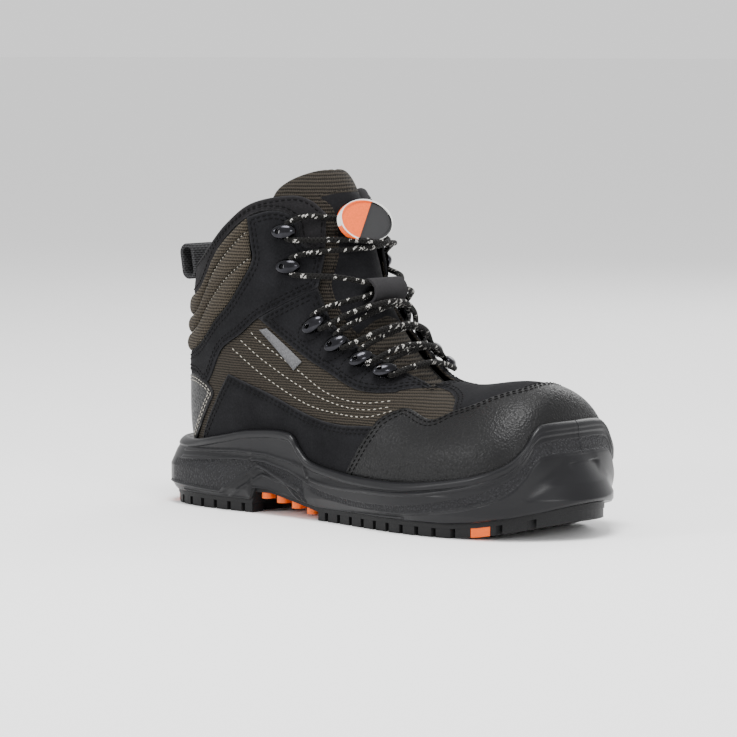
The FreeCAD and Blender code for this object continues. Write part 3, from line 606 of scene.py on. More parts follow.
def ribbed_finish(name, dark, light, pitch, loop, depth, by_height=True, rough=0.95):
    """Rib weave, with painted shade in its hollows. Ribs follow height over the floor, or the piece's own UV
    in millimetres.
    """
    made, g, shader = finish_base(name, Roughness=rough, Sheen_Weight=0.03, Specular_IOR_Level=0.08)
    place = g.place()
    axes = g.node("ShaderNodeSeparateXYZ", {0: place}).outputs
    if by_height:
        across = g.math("MULTIPLY", axes[2], 1000.0)
        along = g.math("MULTIPLY", g.math("ADD", axes[0], g.math("MULTIPLY", axes[1], 0.6)), 1000.0)
    else:
        uv = g.node("ShaderNodeSeparateXYZ", {0: g.node("ShaderNodeTexCoord").outputs["UV"]}).outputs
        along, across = uv[0], uv[1]
    drift = g.node("ShaderNodeTexNoise", {"Vector": place, "Scale": 60.0, "Detail": 2.0}).outputs["Fac"]
    across = g.math("ADD", across, g.ramp(drift, 0.3, 0.7, -0.25, 0.25))
    knit = use(g, ribs, Across=across, Along=along, Pitch=pitch, Loop=loop)
    specks = g.node("ShaderNodeTexNoise", {"Vector": place, "Scale": 1500.0, "Detail": 2.0}).outputs["Fac"]
    # Painted shade: the colour goes from the dark colour in the rib hollows to the light colour on the
    # crests, by the ribs' height.
    base = g.mix(g.ramp(knit["Height"], 0.25, 1.15), colour(dark), colour(light))
    base = tinted(g, base, g.ramp(specks, 0.3, 0.7, 0.75, 1.25))
    g.tree.links.new(base, shader.inputs["Base Color"])
    bump_into(g, shader, knit["Height"], depth, 1.0)
    return made


def moulded_finish(name, rgb, rough, stipple=True, grain=0.00012):
    made, g, shader = finish_base(name, Specular_IOR_Level=0.20)
    place = g.place()
    smudge = g.node("ShaderNodeTexNoise", {"Vector": place, "Scale": 30.0, "Detail": 5.0}).outputs["Fac"]
    fine = g.node("ShaderNodeTexNoise", {"Vector": place, "Scale": 1400.0, "Detail": 2.0}).outputs["Fac"]
    base = tinted(g, rgb, g.ramp(smudge, 0.3, 0.7, 0.88, 1.12))
    height = fine
    rough_value = g.ramp(smudge, 0.3, 0.7, rough - 0.05, rough + 0.08)
    if stipple:
        mask = g.attribute("stipple")
        dots = g.node("ShaderNodeTexVoronoi", {"Vector": place, "Scale": 620.0}, feature="F1")
        bead = g.math("MULTIPLY", g.ramp(dots.outputs["Distance"], 0.1, 0.6, 1.0, 0.0), mask)
        height = g.math("ADD", g.math("MULTIPLY", fine, 0.3), g.math("MULTIPLY", bead, 4.0))
        # Painted highlight: each stipple bead is lighter towards its middle, mixing up to half way to 3.2
        # times the colour.
        base = g.mix(g.math("MULTIPLY", bead, 0.5), base, colour([c * 3.2 for c in rgb]))
        rough_value = g.math("ADD", rough_value, g.math("MULTIPLY", mask, 0.22), clamp=True)
    g.tree.links.new(base, shader.inputs["Base Color"])
    g.tree.links.new(rough_value, shader.inputs["Roughness"])
    bump_into(g, shader, height, grain, 0.9)
    return made


def cord_finish(name, rgb, fleck):
    """Round braid: its UV runs round the cord (0 to 1) and along it in millimetres."""
    made, g, shader = finish_base(name, Roughness=0.8, Sheen_Weight=0.03, Specular_IOR_Level=0.12)
    uv = g.node("ShaderNodeSeparateXYZ", {0: g.node("ShaderNodeTexCoord").outputs["UV"]}).outputs
    turn = g.math("MULTIPLY", uv[0], 2 * pi * 4)
    run = g.math("MULTIPLY", uv[1], 2 * pi / 2.2)
    left = g.math("SINE", g.math("ADD", turn, run))
    right = g.math("SINE", g.math("SUBTRACT", turn, run))
    braid = g.math("MAXIMUM", left, right)
    # Painted shade: the braid's hollows take 0.45 of the cord's colour, its crests the full colour.
    g.tree.links.new(g.mix(g.ramp(braid, 0.0, 1.0), colour([c * 0.45 for c in rgb]), colour(rgb)),
                     shader.inputs["Base Color"])
    cell_turn = g.math("FLOOR", g.math("ADD", g.math("MULTIPLY", uv[0], 7.0), g.math("MULTIPLY", uv[1], 0.5)))
    cell_run = g.math("FLOOR", g.math("DIVIDE", uv[1], 1.7))
    cell = g.node("ShaderNodeCombineXYZ", {0: cell_turn, 1: cell_run})
    chance = g.node("ShaderNodeTexWhiteNoise", {"Vector": cell.outputs[0]}, noise_dimensions="3D")
    spot = g.math("GREATER_THAN", chance.outputs["Value"], 0.90)
    spot = g.math("MULTIPLY", spot, g.ramp(braid, -0.3, 0.1))
    base = shader.inputs["Base Color"].links[0].from_socket
    g.tree.links.new(g.mix(spot, base, colour(fleck)), shader.inputs["Base Color"])
    bump_into(g, shader, braid, 0.0003, 1.0)
    return made


def metal_finish(name, rgb, rough):
    made, g, shader = finish_base(name, Metallic=1.0)
    place = g.place()
    cast = g.node("ShaderNodeTexNoise", {"Vector": place, "Scale": 700.0, "Detail": 4.0}).outputs["Fac"]
    rub = g.node("ShaderNodeTexNoise", {"Vector": place, "Scale": 120.0, "Detail": 3.0}).outputs["Fac"]
    g.tree.links.new(tinted(g, rgb, g.ramp(rub, 0.35, 0.7, 0.75, 1.5)), shader.inputs["Base Color"])
    g.tree.links.new(g.ramp(cast, 0.3, 0.7, rough - 0.07, rough + 0.12), shader.inputs["Roughness"])
    bump_into(g, shader, cast, 0.00006, 0.6)
    return made


def thread_finish(name, rgb):
    made, g, shader = finish_base(name, Roughness=0.8, Specular_IOR_Level=0.15)
    ply = g.node("ShaderNodeTexNoise", {"Vector": g.place(), "Scale": 1800.0, "Detail": 2.0}).outputs["Fac"]
    g.tree.links.new(tinted(g, rgb, g.ramp(ply, 0.3, 0.7, 0.6, 1.3)), shader.inputs["Base Color"])
    bump_into(g, shader, ply, 0.0001, 1.0)
    return made


nubuck = nubuck_finish("nubuck", (0.0085, 0.0085, 0.0095))
nubuck_trim = nubuck_finish("nubuck_trim", (0.0115, 0.0110, 0.0118))
leather = pebble_finish("pebble_leather", (0.0050, 0.0050, 0.0053))
# Each ribbed finish gets its hollow colour, darker as painted shade, then its crest colour.
mesh_cloth = ribbed_finish("ribbed_mesh", (0.004, 0.0036, 0.003), (0.036, 0.030, 0.023), 1.45, 1.1, 0.00025)
rib_knit = ribbed_finish("rib_knit", (0.006, 0.005, 0.004), (0.060, 0.050, 0.037), 1.7, 1.2, 0.00035)
tongue_knit = ribbed_finish("tongue_knit", (0.005, 0.0045, 0.004), (0.034, 0.029, 0.023), 1.9, 1.3, 0.0003)
lining_cloth = ribbed_finish("lining_cloth", (0.004, 0.004, 0.004), (0.018, 0.018, 0.018), 1.0, 1.0, 0.00015)
footbed_cloth = ribbed_finish("footbed_cloth", (0.012, 0.012, 0.012), (0.05, 0.05, 0.05), 1.2, 1.2, 0.0001)
sole_skin = moulded_finish("moulded_sole", (0.0075, 0.0075, 0.0085), 0.33)
tread_rubber = moulded_finish("tread_rubber", (0.008, 0.008, 0.0085), 0.55, stipple=False, grain=0.0002)
orange_skin = moulded_finish("orange_sole", (0.80, 0.12, 0.010), 0.42, stipple=False)
gunmetal = metal_finish("gunmetal", (0.022, 0.022, 0.025), 0.16)
bright_rim = metal_finish("worn_rim", (0.45, 0.45, 0.46), 0.25)
black_thread = thread_finish("black_thread", (0.0008, 0.0008, 0.0008))
pale_thread = thread_finish("pale_thread", (0.33, 0.31, 0.27))
lace_cord = cord_finish("lace_cord", (0.0065, 0.006, 0.0055), (0.36, 0.35, 0.33))
tag_cloth = ribbed_finish("tag_ribbon", (0.05, 0.05, 0.052), (0.13, 0.13, 0.135), 0.7, 0.7, 0.00008)
webbing = ribbed_finish("webbing", (0.008, 0.008, 0.008), (0.04, 0.04, 0.042), 1.3, 2.0, 0.0002)
lace_sleeve = moulded_finish("lace_sleeve", (0.01, 0.01, 0.01), 0.25, stipple=False)
print("materials:", len(bpy.data.materials))

# %% [markdown]
# ## The upper's panels
# Under the leather lies one ribbed mesh quarter, as on the real boot. The leather panels are lapped over it
# in the order they are sewn: side panels, vamp, toe guard, heel patch, ankle strap, collar trim.

# %% Quarter mesh: the whole upper outside, open at the throat and the collar
def medial_of(points, above=False):
    return find(smooth(mirrored(points) if above else points), "medial", above)


def lateral_of(points, above=False):
    return find(smooth(points), "lateral", above)


throat_half = smooth(THROAT_EDGE)
throat_lateral = find(throat_half, "lateral")
throat_medial = find(throat_half, "medial")
THROAT_END_U = find([(188.0, 75.5)], "lateral")[0, 0]
GUARD_FRONT_U = 0.02


def base_line(u_from, u_to, v, count=60):
    return np.column_stack([np.linspace(u_from, u_to, count), np.full(count, v)])


outline = np.vstack([
    throat_lateral[4:],
    [(THROAT_END_U, 0.5)],
    throat_medial[4:][::-1],
    medial_of(STRAP_LOWER)[::-1],
    [(12.2, 0.965), (11.2, 0.965)],
    base_line(11.0, 0.4, 0.965),
    base_line(0.4, 11.0, 0.035),
    [(11.2, 0.035), (12.2, 0.035)],
    lateral_of(STRAP_LOWER),
])
QUARTER_HEIGHT = -0.7
panel("quarter_mesh", outline, "boot", mesh_cloth, flat_border(QUARTER_HEIGHT), thick=1.2)

# %% Side panels
SIDE_HEIGHT = 0.5
for side, finder in (("lateral", lateral_of), ("medial", medial_of)):
    v_low = SOLE_V if side == "lateral" else 1 - SOLE_V
    top = finder(SIDE_TOP_EDGE)
    rear = finder(SIDE_REAR_EDGE)
    outline = np.vstack([rear, top[1:], base_line(top[-1, 0] - 0.2, rear[0, 0], v_low)])
    panel(f"side_panel_{side}", outline, "boot", nubuck, pressed(SIDE_HEIGHT, 0.4, 2.2), thick=1.6)

# %% Vamp: the front of the foot and both lacing edges in one piece
VAMP_HEIGHT = 0.35
vamp_half = []
for side, finder in (("lateral", lateral_of), ("medial", medial_of)):
    throat_side = find(throat_half, side)
    rear = finder(((118, 127), (109, 122), (100, 117), (86, 109.5)))
    lower = finder(VAMP_EDGE)
    top = find(smooth(VAMP_EDGE_TOP if side == "lateral" else mirrored(VAMP_EDGE_TOP)), side, above=True)
    vamp_half.append((throat_side, rear, lower, top))
(l_throat, l_rear, l_lower, l_top), (m_throat, m_rear, m_lower, m_top) = vamp_half
start = int(np.argmin(np.abs(throat_half[:, 1] - 129)))
outline = np.vstack([
    l_throat[start:], [(THROAT_END_U, 0.5)], m_throat[start:][::-1],
    m_rear, m_lower[1:], m_top[1:],
    [(3.2, 0.60), (2.9, 0.5), (3.2, 0.40)],
    l_top[1:][::-1], l_lower[1:][::-1], l_rear[::-1],
])
panel("vamp", outline, "boot", nubuck, pressed(VAMP_HEIGHT, 0.45, 2.4), thick=1.5)

# %% Toe guard
GUARD_HEIGHT = 1.0
l_side, m_side = lateral_of(GUARD_EDGE), medial_of(GUARD_EDGE)
l_top = find(smooth(GUARD_EDGE_TOP), "lateral", above=True)
m_top = find(smooth(mirrored(GUARD_EDGE_TOP)), "medial", above=True)
l_top[-1, 1] = m_top[-1, 1] = 0.5
outline = np.vstack([
    l_side[:-2], l_top[1:], m_top[:-1][::-1][:-1], m_side[:-2][::-1],
    base_line(m_side[0, 0], GUARD_FRONT_U, 1 - SOLE_V), base_line(GUARD_FRONT_U, l_side[0, 0], SOLE_V),
])
panel("toe_guard", outline, "boot", leather, pressed(GUARD_HEIGHT, 0.5, 2.4), thick=1.8)

# %% Heel patch, ankle strap and collar trim, each in one piece round the back
def round_back(upper, lower):
    """Outline of a panel that wraps the back: its upper edge from medial to lateral, then its lower edge."""
    return np.vstack([both_sides(upper, "back"), both_sides(lower, "back")[::-1]])


PATCH_HEIGHT, STRAP_HEIGHT, TRIM_HEIGHT = 0.55, 0.7, 0.95
patch = smooth(((6, 73.5), (27, 74), (41, 71)))
half = np.vstack([patch, smooth(PATCH_EDGE)[1:]])
l_half, m_half = find(half, "lateral"), find(half, "medial")
m_half[:, 1] -= 1.0
l_half[0, 1] = m_half[0, 1] = 0.0
panel("heel_patch", np.vstack([m_half[::-1], l_half[1:]]), "boot", leather, pressed(PATCH_HEIGHT, 0.4, 2.2),
      thick=1.6)


def wrapped(upper, front_edges, lower):
    """Outline of a panel that wraps the back and ends in the front edges on both sides."""
    halves = []
    for side in ("lateral", "medial"):
        parts = [find(smooth(edge), side) for edge in (upper,) + front_edges]
        parts.append(find(smooth(lower), side)[::-1])
        half = np.vstack([parts[0]] + [part[1:] for part in parts[1:]])
        if side == "medial":
            half[:, 1] -= 1.0
        half[0, 1] = half[-1, 1] = 0.0
        halves.append(half)
    return np.vstack([halves[0], halves[1][::-1][1:-1]])


strap_front = (((78, 165), (93, 169), (103, 164), (108, 151), (118, 145)), ((118, 145), (118, 127)))
panel("ankle_strap", wrapped(STRAP_UPPER, strap_front, STRAP_LOWER), "boot", nubuck,
      pressed(STRAP_HEIGHT, 0.45, 2.4), thick=1.6)
panel("collar_trim", wrapped(OPENING_EDGE, (((115, 167), (118, 145)),), TRIM_LOWER), "boot", nubuck_trim,
      pressed(TRIM_HEIGHT, 0.5, 2.4), thick=1.6)

# %% [markdown]
# ## Collar ribs, collar roll and lining
# Three padded ribs of knit wrap the ankle between the trim and the strap. Each is a pocket sewn down at its
# edges and full of foam, so its section is a low round arch. The collar's edge is a soft roll that goes over
# into the lining.

# %% Padded ribs
RIB_SEAM, RIB_STANDS, RIB_WIDTH = -0.5, 3.2, 5.6
rib_lines = (TRIM_LOWER[:4], RIB_LINE_1, RIB_LINE_2, STRAP_UPPER[:5])
for name, above_line, below_line in zip(("upper", "middle", "lower"), rib_lines, rib_lines[1:]):
    outline = round_back(above_line, below_line)
    rib = panel(f"collar_rib_{name}", outline, "boot", rib_knit, pillow(RIB_SEAM, RIB_STANDS, RIB_WIDTH),
                thick=1.2)
    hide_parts(f"collar_rib_{name}")


# %% Rings of edges, extruded one after the other
def first_ring(bm, count, radius):
    """Capped circle; returns its verts in order of angle, and its edges."""
    ring = bmesh.ops.create_circle(bm, segments=count, radius=radius)["verts"]
    ring = sorted(ring, key=lambda vert: np.arctan2(vert.co.y, vert.co.x) % (2 * pi))
    edges = bm.edges[:]
    bmesh.ops.contextual_create(bm, geom=edges)
    return ring, edges


def next_ring(bm, ring, edges):
    """Extrudes a ring; returns the new verts in the old ones' order, and the new ring's edges."""
    grown = bmesh.ops.extrude_edge_only(bm, edges=edges)["geom"]
    new_verts = {item for item in grown if isinstance(item, bmesh.types.BMVert)}
    new_edges = [item for item in grown if isinstance(item, bmesh.types.BMEdge)
                 and item.verts[0] in new_verts and item.verts[1] in new_verts]
    links = {}
    for vert in new_verts:
        for edge in vert.link_edges:
            other = edge.other_vert(vert)
            if other not in new_verts:
                links[other] = vert
    return [links[vert] for vert in ring], new_edges


def axes_at(x_axis, y_axis, z_axis, place):
    """Matrix with these columns."""
    rows = np.column_stack([x_axis, y_axis, z_axis, place]).tolist()
    return Matrix(rows + [[0, 0, 0, 1]])


# %% Tubes along a path: the collar roll and the lace
def sweep(name, path, radius, body, material, sides=14):
    """Round tube: one ring of edges extruded from station to station along the path, in the row frame."""
    path = np.asarray(path, float)
    tangents = np.gradient(path, axis=0)
    tangents /= np.linalg.norm(tangents, axis=1, keepdims=True)
    side_way = np.cross(tangents[0], (0, 0, 1.0))
    if np.linalg.norm(side_way) < 0.2:
        side_way = np.cross(tangents[0], (0, 1.0, 0))
    side_way /= np.linalg.norm(side_way)
    bm = bmesh.new()
    turn_layer = bm.verts.layers.float.new("turn")
    run_layer = bm.verts.layers.float.new("run_mm")
    ring, edges = first_ring(bm, sides, radius)
    unit = [vert.co.copy() for vert in ring]
    length = 0.0
    for k, (place, tangent) in enumerate(zip(path, tangents)):
        side_way = side_way - tangent * float(side_way @ tangent)
        side_way /= np.linalg.norm(side_way)
        if k:
            length += float(np.linalg.norm(place - path[k - 1])) / MM
            ring, edges = next_ring(bm, ring, edges)
        frame_here = axes_at(side_way, np.cross(tangent, side_way), tangent, place)
        for index, vert in enumerate(ring):
            vert.co = frame_here @ unit[index]
            vert[turn_layer] = index / sides
            vert[run_layer] = length
    bmesh.ops.contextual_create(bm, geom=edges)
    bmesh.ops.recalc_face_normals(bm, faces=bm.faces[:])
    uv_layer = bm.loops.layers.uv.new("UVMap")
    for face in bm.faces:
        turns = [loop.vert[turn_layer] for loop in face.loops]
        wraps = max(turns) - min(turns) > 0.5
        for loop, turn in zip(face.loops, turns):
            loop[uv_layer].uv = (turn + 1.0 if wraps and turn < 0.25 else turn, loop.vert[run_layer])
    return finish_object(bm, name, body, material)


# %% Collar roll
ROLL_RADIUS, ROLL_DEPTH = 3.1, -2.6
opening = smooth(OPENING_EDGE + ((117.4, 150),), 2.0)
l_edge, m_edge = find(opening, "lateral"), find(opening, "medial")
m_edge[:, 1] -= 1.0
l_edge[0, 1] = m_edge[0, 1] = 0.0
roll_uv = np.vstack([m_edge[::-1], l_edge[1:]])
roll_path = to_row(lasted(roll_uv[:, 0], roll_uv[:, 1], ROLL_DEPTH))
roll = sweep("collar_roll", roll_path, ROLL_RADIUS * MM, "boot", nubuck_trim, sides=16)

# %% Lining
LINING_HEIGHT = -4.9
LINING_FRONT_U = 3.0
for side, middle in (("lateral", 0.0), ("medial", 1.0)):
    top = find(smooth(OPENING_EDGE), side)
    front = find(smooth(((115, 167), (118, 145), (118, 127))), side)
    throat_side = find(smooth(THROAT_EDGE[1:]), side)
    outline = np.vstack([top, front[1:], throat_side[1:], [(THROAT_END_U, 0.5)],
                         base_line(THROAT_END_U, LINING_FRONT_U, 0.5, 12),
                         base_line(LINING_FRONT_U, top[0, 0], middle, 80)])
    panel(f"lining_{side}", outline, "boot", lining_cloth,
                                flat_border(LINING_HEIGHT), thick=1.2)
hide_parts("lining", "ankle_padding")

# %% [markdown]
# ## Tongue, badge, keeper and gussets
# The tongue is a foam pad faced with rib knit; a nubuck overlay covers it below the top roll. It hangs from
# the front of the foot and swings on a cloth hinge there. The blank oval badge and the lace keeper are on
# the overlay. Thin mesh gussets lie between tongue and upper.

# %% Tongue pad and overlay
TONGUE_SEAM, TONGUE_STANDS, TONGUE_WIDTH = -8.5, 3.8, 14.0
TONGUE_TUCK = 4.0       # how far its edges reach under the upper
TONGUE_FIRST_U = 5.35


def tongue_half(side, reach):
    edge = [(x + reach, z + 0.3 * reach) for x, z in THROAT_EDGE]
    drawn = ((88, 172), (100, 169), (106, 163)) + tuple(edge)
    top = find(smooth(((88, 172), (91.5, 181), (98, 188), (106, 193.5), (112, 195.5))), side)
    return find(smooth(drawn), side), top


def tongue_outline(reach):
    l_rim, l_head = tongue_half("lateral", reach)
    m_rim, m_head = tongue_half("medial", reach)
    l_head[-1, 1] = m_head[-1, 1] = 0.5
    return np.vstack([l_rim, [(TONGUE_FIRST_U, 0.5)], m_rim[::-1], m_head[1:], l_head[:-1][::-1][:-1]])


pad = panel("tongue_pad", tongue_outline(-TONGUE_TUCK), "tongue", tongue_knit,
            pillow(TONGUE_SEAM, TONGUE_STANDS, TONGUE_WIDTH), thick=3.2)
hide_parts("tongue_pad")

OVERLAY_HEIGHT = -4.1
overlay_edges = {}
for side in ("lateral", "medial"):
    drawn = [(x + 3.2, z + 1.0) for x, z in THROAT_EDGE[:5]]
    rim = find(smooth(((103.5, 176), (109.5, 174.5), (116.2, 168)) + tuple(drawn[:4])), side)
    head = find(smooth(((103.5, 176), (110.5, 181.5), (119, 184.5))), side)
    head[-1, 1] = 0.5
    foot = find(smooth((drawn[3], (149, 110))), side)
    foot[-1, 1] = 0.5
    overlay_edges[side] = np.vstack([head[::-1], rim[1:], foot[1:]])
outline = np.vstack([overlay_edges["lateral"][:-1], overlay_edges["medial"][::-1][:-1]])
overlay = panel("tongue_overlay", outline, "tongue", nubuck, pressed(OVERLAY_HEIGHT, 1.6, 9.0), thick=1.1)
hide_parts("tongue_leather")

# %% Gussets between the tongue and the upper
GUSSET_HEIGHT = -6.6


def drawing_places(piece):
    """A piece's points in drawing millimetres."""
    raw = np.zeros(len(piece.data.vertices) * 3)
    piece.data.vertices.foreach_get("co", raw)
    return raw.reshape(-1, 3) / MM + np.array(ORIGIN)


def follow_tongue(piece):
    """Bakes a piece's placement into its points."""
    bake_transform(piece)


for side in ("lateral", "medial"):
    inner = find(smooth([(x - 5, z - 2) for x, z in THROAT_EDGE[:-1]]), side)
    outer = find(smooth([(x + 4, z + 2) for x, z in THROAT_EDGE[:-1]]), side)
    gusset = panel(f"gusset_{side}", np.vstack([inner, outer[::-1]]), None, mesh_cloth,
                   flat_border(GUSSET_HEIGHT), thick=0.6)
    places = drawing_places(gusset)
    follow_tongue(gusset)
    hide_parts(f"gusset_{side}")

# %% [markdown]
# ## Laces and fittings
# The lace is one round braided cord. It starts as a bar across the lowest pair of cast loops and
# criss-crosses up through the others, through the keeper and round the two pairs of hooks, and its ends are
# tucked behind the badge. Each fitting is a polished casting on a riveted base, ringed with stitching.

# %% Lace spans, drawn from one lateral fitting to a medial one
LACE_RADIUS = 1.6
LACE_BAR = ((169.5, -28, 80.5), (172, -17, 84.5), (174, 0, 87), (172, 17, 84.5), (169.5, 28, 80.5))
LACE_CROSSINGS = (
    ((162.5, -25, 88.5), (165, -13, 92), (165.5, 3, 94.5), (162, 17, 93), (157.5, 32, 86.5)),
    ((149.5, -31, 95.5), (154, -17, 101), (156.5, 0, 105), (153, 18, 103), (142.5, 36, 94.5)),
    ((134.5, -35, 103.5), (142, -22, 110), (148, -4, 117), (144.5, 14, 116), (136, 28, 111),
     (127.5, 39, 104.5)),
    ((119.5, -37, 113.5), (130, -29, 118), (141, -14, 122.6), (138.8, 14, 127.1), (128, 31, 131),
     (108, 43, 132)),
    ((106, -37, 145), (117, -27, 146.5), (130, -13, 148), (134, 2, 149), (127, 21, 151), (103, 43, 152)),
)
LACE_MIRROR = (0, 0, 0, 2, 3)
LACE_ENDS = (
    ((102, -36, 164), (111, -28, 166), (118.3, -18, 165), (122.2, -7.5, 163.5)),
    ((102, 42, 164), (113, 31, 166), (120.5, 19, 165), (124, 7.5, 163.5)),
)
LACE_OVER = 3.6
spans = [LACE_BAR] + list(LACE_CROSSINGS) + list(LACE_ENDS)
for route, mirror in zip(LACE_CROSSINGS, LACE_MIRROR):
    twin = []
    for index, (x, y, z) in enumerate(route):
        rise = LACE_OVER * min(1, min(index, len(route) - 1 - index))
        twin.append((x + 0.8 * rise, 2 * mirror - y, z + 0.6 * rise))
    spans.append(tuple(twin))


LOOPS, LOOP_LEAN = ((121, 106), (136, 96), (150, 88), (163, 81.5)), radians(42)
HOOKS, HOOK_LEAN = ((99, 157), (103, 138)), radians(8)
BASE_RISE, CHANNEL_RISE, CHANNEL_FORWARD = 1.3, 2.7, 2.2
LEAD_OUT = 4.6              # how far the lace runs straight out of a channel
fittings = []       # each one's channel middle, channel way, lengthwise way, outwards and base
for side in ("lateral", "medial"):
    for places, lean in ((LOOPS, LOOP_LEAN), (HOOKS, HOOK_LEAN)):
        for u, v in find(places, side):
            out = last_normal([u], [v])[0]
            level = np.array((cos(lean), 0, sin(lean)))
            length_way = level - out * float(level @ out)
            length_way /= np.linalg.norm(length_way)
            channel_way = np.cross(out, length_way)
            base = on_last([u], [v])[0] + out * BASE_RISE
            channel = base + length_way * CHANNEL_FORWARD + out * CHANNEL_RISE
            fittings.append((channel, channel_way, length_way, out, base))


def tucked(route):
    """A span with its ends led through the channels of the fittings that they come from."""
    points = [np.array(p, float) for p in route]
    for end in (0, -1):
        if len(route) == 4 and end == -1:
            continue
        near = min(fittings, key=lambda item: np.linalg.norm(item[0] - points[end]))
        channel, channel_way = near[0], near[1]
        turn = 1.0 if (points[end] - channel) @ channel_way > 0 else -1.0
        lead = [channel, channel + channel_way * turn * LEAD_OUT]
        if end == 0:
            points = lead + points[1:]
        else:
            points = points[:-1] + lead[::-1]
    return points


lace_length = 0.0
for index, route in enumerate(spans):
    path = smooth(tucked(route), 1.6)
    lace_length += float(np.linalg.norm(np.diff(path, axis=0), axis=1).sum())
    span = sweep(f"lace_span_{index + 1:02d}", to_row(path), LACE_RADIUS * MM, None, lace_cord, sides=12)
    middle = 0.5 * (path[0, 1] + path[-1, 1]) if len(route) > 4 else 0.0
    aside = np.abs(drawing_places(span)[:, 1] - middle) / max(abs(path[0, 1]), abs(path[-1, 1]))
    follow_tongue(span)
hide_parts("lace")
print("lace shown, metres:", round(lace_length * MM, 3))

# %% [markdown]
# ## Midsole
# The midsole is one soft polyurethane moulding. Its wall is drawn as rings of edges lifted from the tread
# to the rim, pulled out to the sole's outline below and in to the upper above. The mould's relief is
# pressed into the rings: a beaded rim, two lines at the heel, a pointed arch of ribs at the waist and a
# bare bumper at the toe, with stippled panels between them.

# %% Sole outline and the heights along it
SOLE_OUTLINE = (
    (-6, 0), (-1, -20), (16, -35), (45, -42), (80, -43), (112, -44), (145, -49), (178, -56), (208, -59),
    (238, -55), (263, -45), (281, -29), (290, -10), (289, 8), (279, 27), (260, 43), (232, 51), (205, 52),
    (175, 46), (140, 38), (105, 36), (70, 38), (40, 39), (14, 32), (-1, 18),
)
TREAD_LINE = ((-12, 7), (-2, 3), (12, 0), (77, 0), (80, 7), (92, 7), (128, 0), (228, 0), (245, 1.5),
              (262, 4.5), (278, 8.5), (296, 14))
SLAB_RINGS = ((4.5, 5.5), (13, 1.0), (22, 1.0), (30, 4.5), (38, 9.5), (46, 14.5), (64, 26.0))
TREAD_TOP = 8.0
WALL_COLUMNS, WALL_ROWS = 900, 84
RIM_WALL = 3.2
SMOOTHING = 15

knots = np.array(SOLE_OUTLINE, float)
weights = spline_weights(np.arange(WALL_COLUMNS) / WALL_COLUMNS * len(knots), len(knots), True,
                         spline_solver(len(knots), True))
footprint = weights @ knots
run = np.roll(footprint, -1, axis=0) - np.roll(footprint, 1, axis=0)
run /= np.linalg.norm(run, axis=1, keepdims=True)
inward = np.column_stack([-run[:, 1], run[:, 0]])
if (inward * (np.array([140.0, 0.0]) - footprint)).sum() < 0:
    inward = -inward
tread_z = np.interp(footprint[:, 0], *np.array(TREAD_LINE).T) + TREAD_TOP - 0.3
rim_smooth = smooth(RIM_EDGE, 2.0)
rim_z = np.interp(footprint[:, 0], rim_smooth[:, 0], rim_smooth[:, 1])

# %% Where the upper's side is, seen from outside at each height
bm = cut_flat(np.vstack([base_line(0.001, 15.9, 0.002, 10), [(15.9, 0.5)], [(15.9, 0.998)],
                         base_line(15.9, 0.001, 0.998, 10), [(0.001, 0.5)]]))
flat = np.array([vert.co for vert in bm.verts])
for vert, place in zip(bm.verts, lasted(flat[:, 0], flat[:, 1] / FLAT, RIM_WALL)):
    vert.co = place
bmesh.ops.holes_fill(bm, edges=bm.edges[:], sides=0)
upper_tree = BVHTree.FromBMesh(bm)
bm.free()


def upper_inset(column, z):
    """How far in from the footprint the wall must be to stand just outside the upper at this height."""
    start = footprint[column] - inward[column] * 20
    way = Vector((inward[column][0], inward[column][1], 0))
    hit = upper_tree.ray_cast(Vector((start[0], start[1], z)), way, 70)
    return hit[3] - 20 if hit[0] is not None else 45.0


def soft_step(value, low, high):
    t = np.clip((value - low) / (high - low), 0, 1)
    return t * t * (3 - 2 * t)


def ridge(distance, half_width):
    """Round bump, 1 on its middle line and 0 beyond its half width."""
    return np.sqrt(np.clip(1 - (distance / half_width) ** 2, 0, 1))


def line_gap(x, z, points):
    points = np.array(points, float)
    nearest = np.full(np.shape(x), 1e9)
    for a, b in zip(points, points[1:]):
        run_x, run_z = b - a
        t = np.clip(((x - a[0]) * run_x + (z - a[1]) * run_z) / (run_x ** 2 + run_z ** 2), 0, 1)
        nearest = np.minimum(nearest, np.hypot(x - a[0] - t * run_x, z - a[1] - t * run_z))
    return nearest


BEAD_DEPTH, BEAD_HALF, BEAD_OUT = 1.9, 2.1, 1.3
LINE_OUT, FORE_OUT, BUMPER_OUT, PANEL_IN, ARCH_IN = 1.0, 0.9, 0.9, 0.45, 0.8
HEEL_LINES = (((20, 31.5), (31, 32.1), (68, 34.5), (91, 34.3), (108, 32), (121, 29.5), (123, 23)),
              ((20, 27.3), (31, 27.9), (68, 30.3), (91, 30.3), (108, 26.8), (123, 21.5)))
ARCH_RIBS = (((8, 12.5), (22, 11.7), (56, 10.6), (85, 27.5), (116.5, 15.7), (120.5, 8.4), (129, 6.7),
              (200, 9)),
             ((22, 8.6), (59.5, 7), (88, 22.6), (107, 17.8), (119, 7.4)))
LINE_HALF = 0.9
FORE_RIDGE = ((116, 129, 171, 215, 262, 300), (10.0, 9.0, 6.0, 5.6, 4.8, 4.8))      # x, depth below the rim
FORE_STIPPLE = ((116, 171, 215, 262, 300), (12.4, 12.2, 11.0, 8.4, 8.4))
BUMPER_DEPTH = 16.0
HEEL_BACK = (10.0, 16.0)


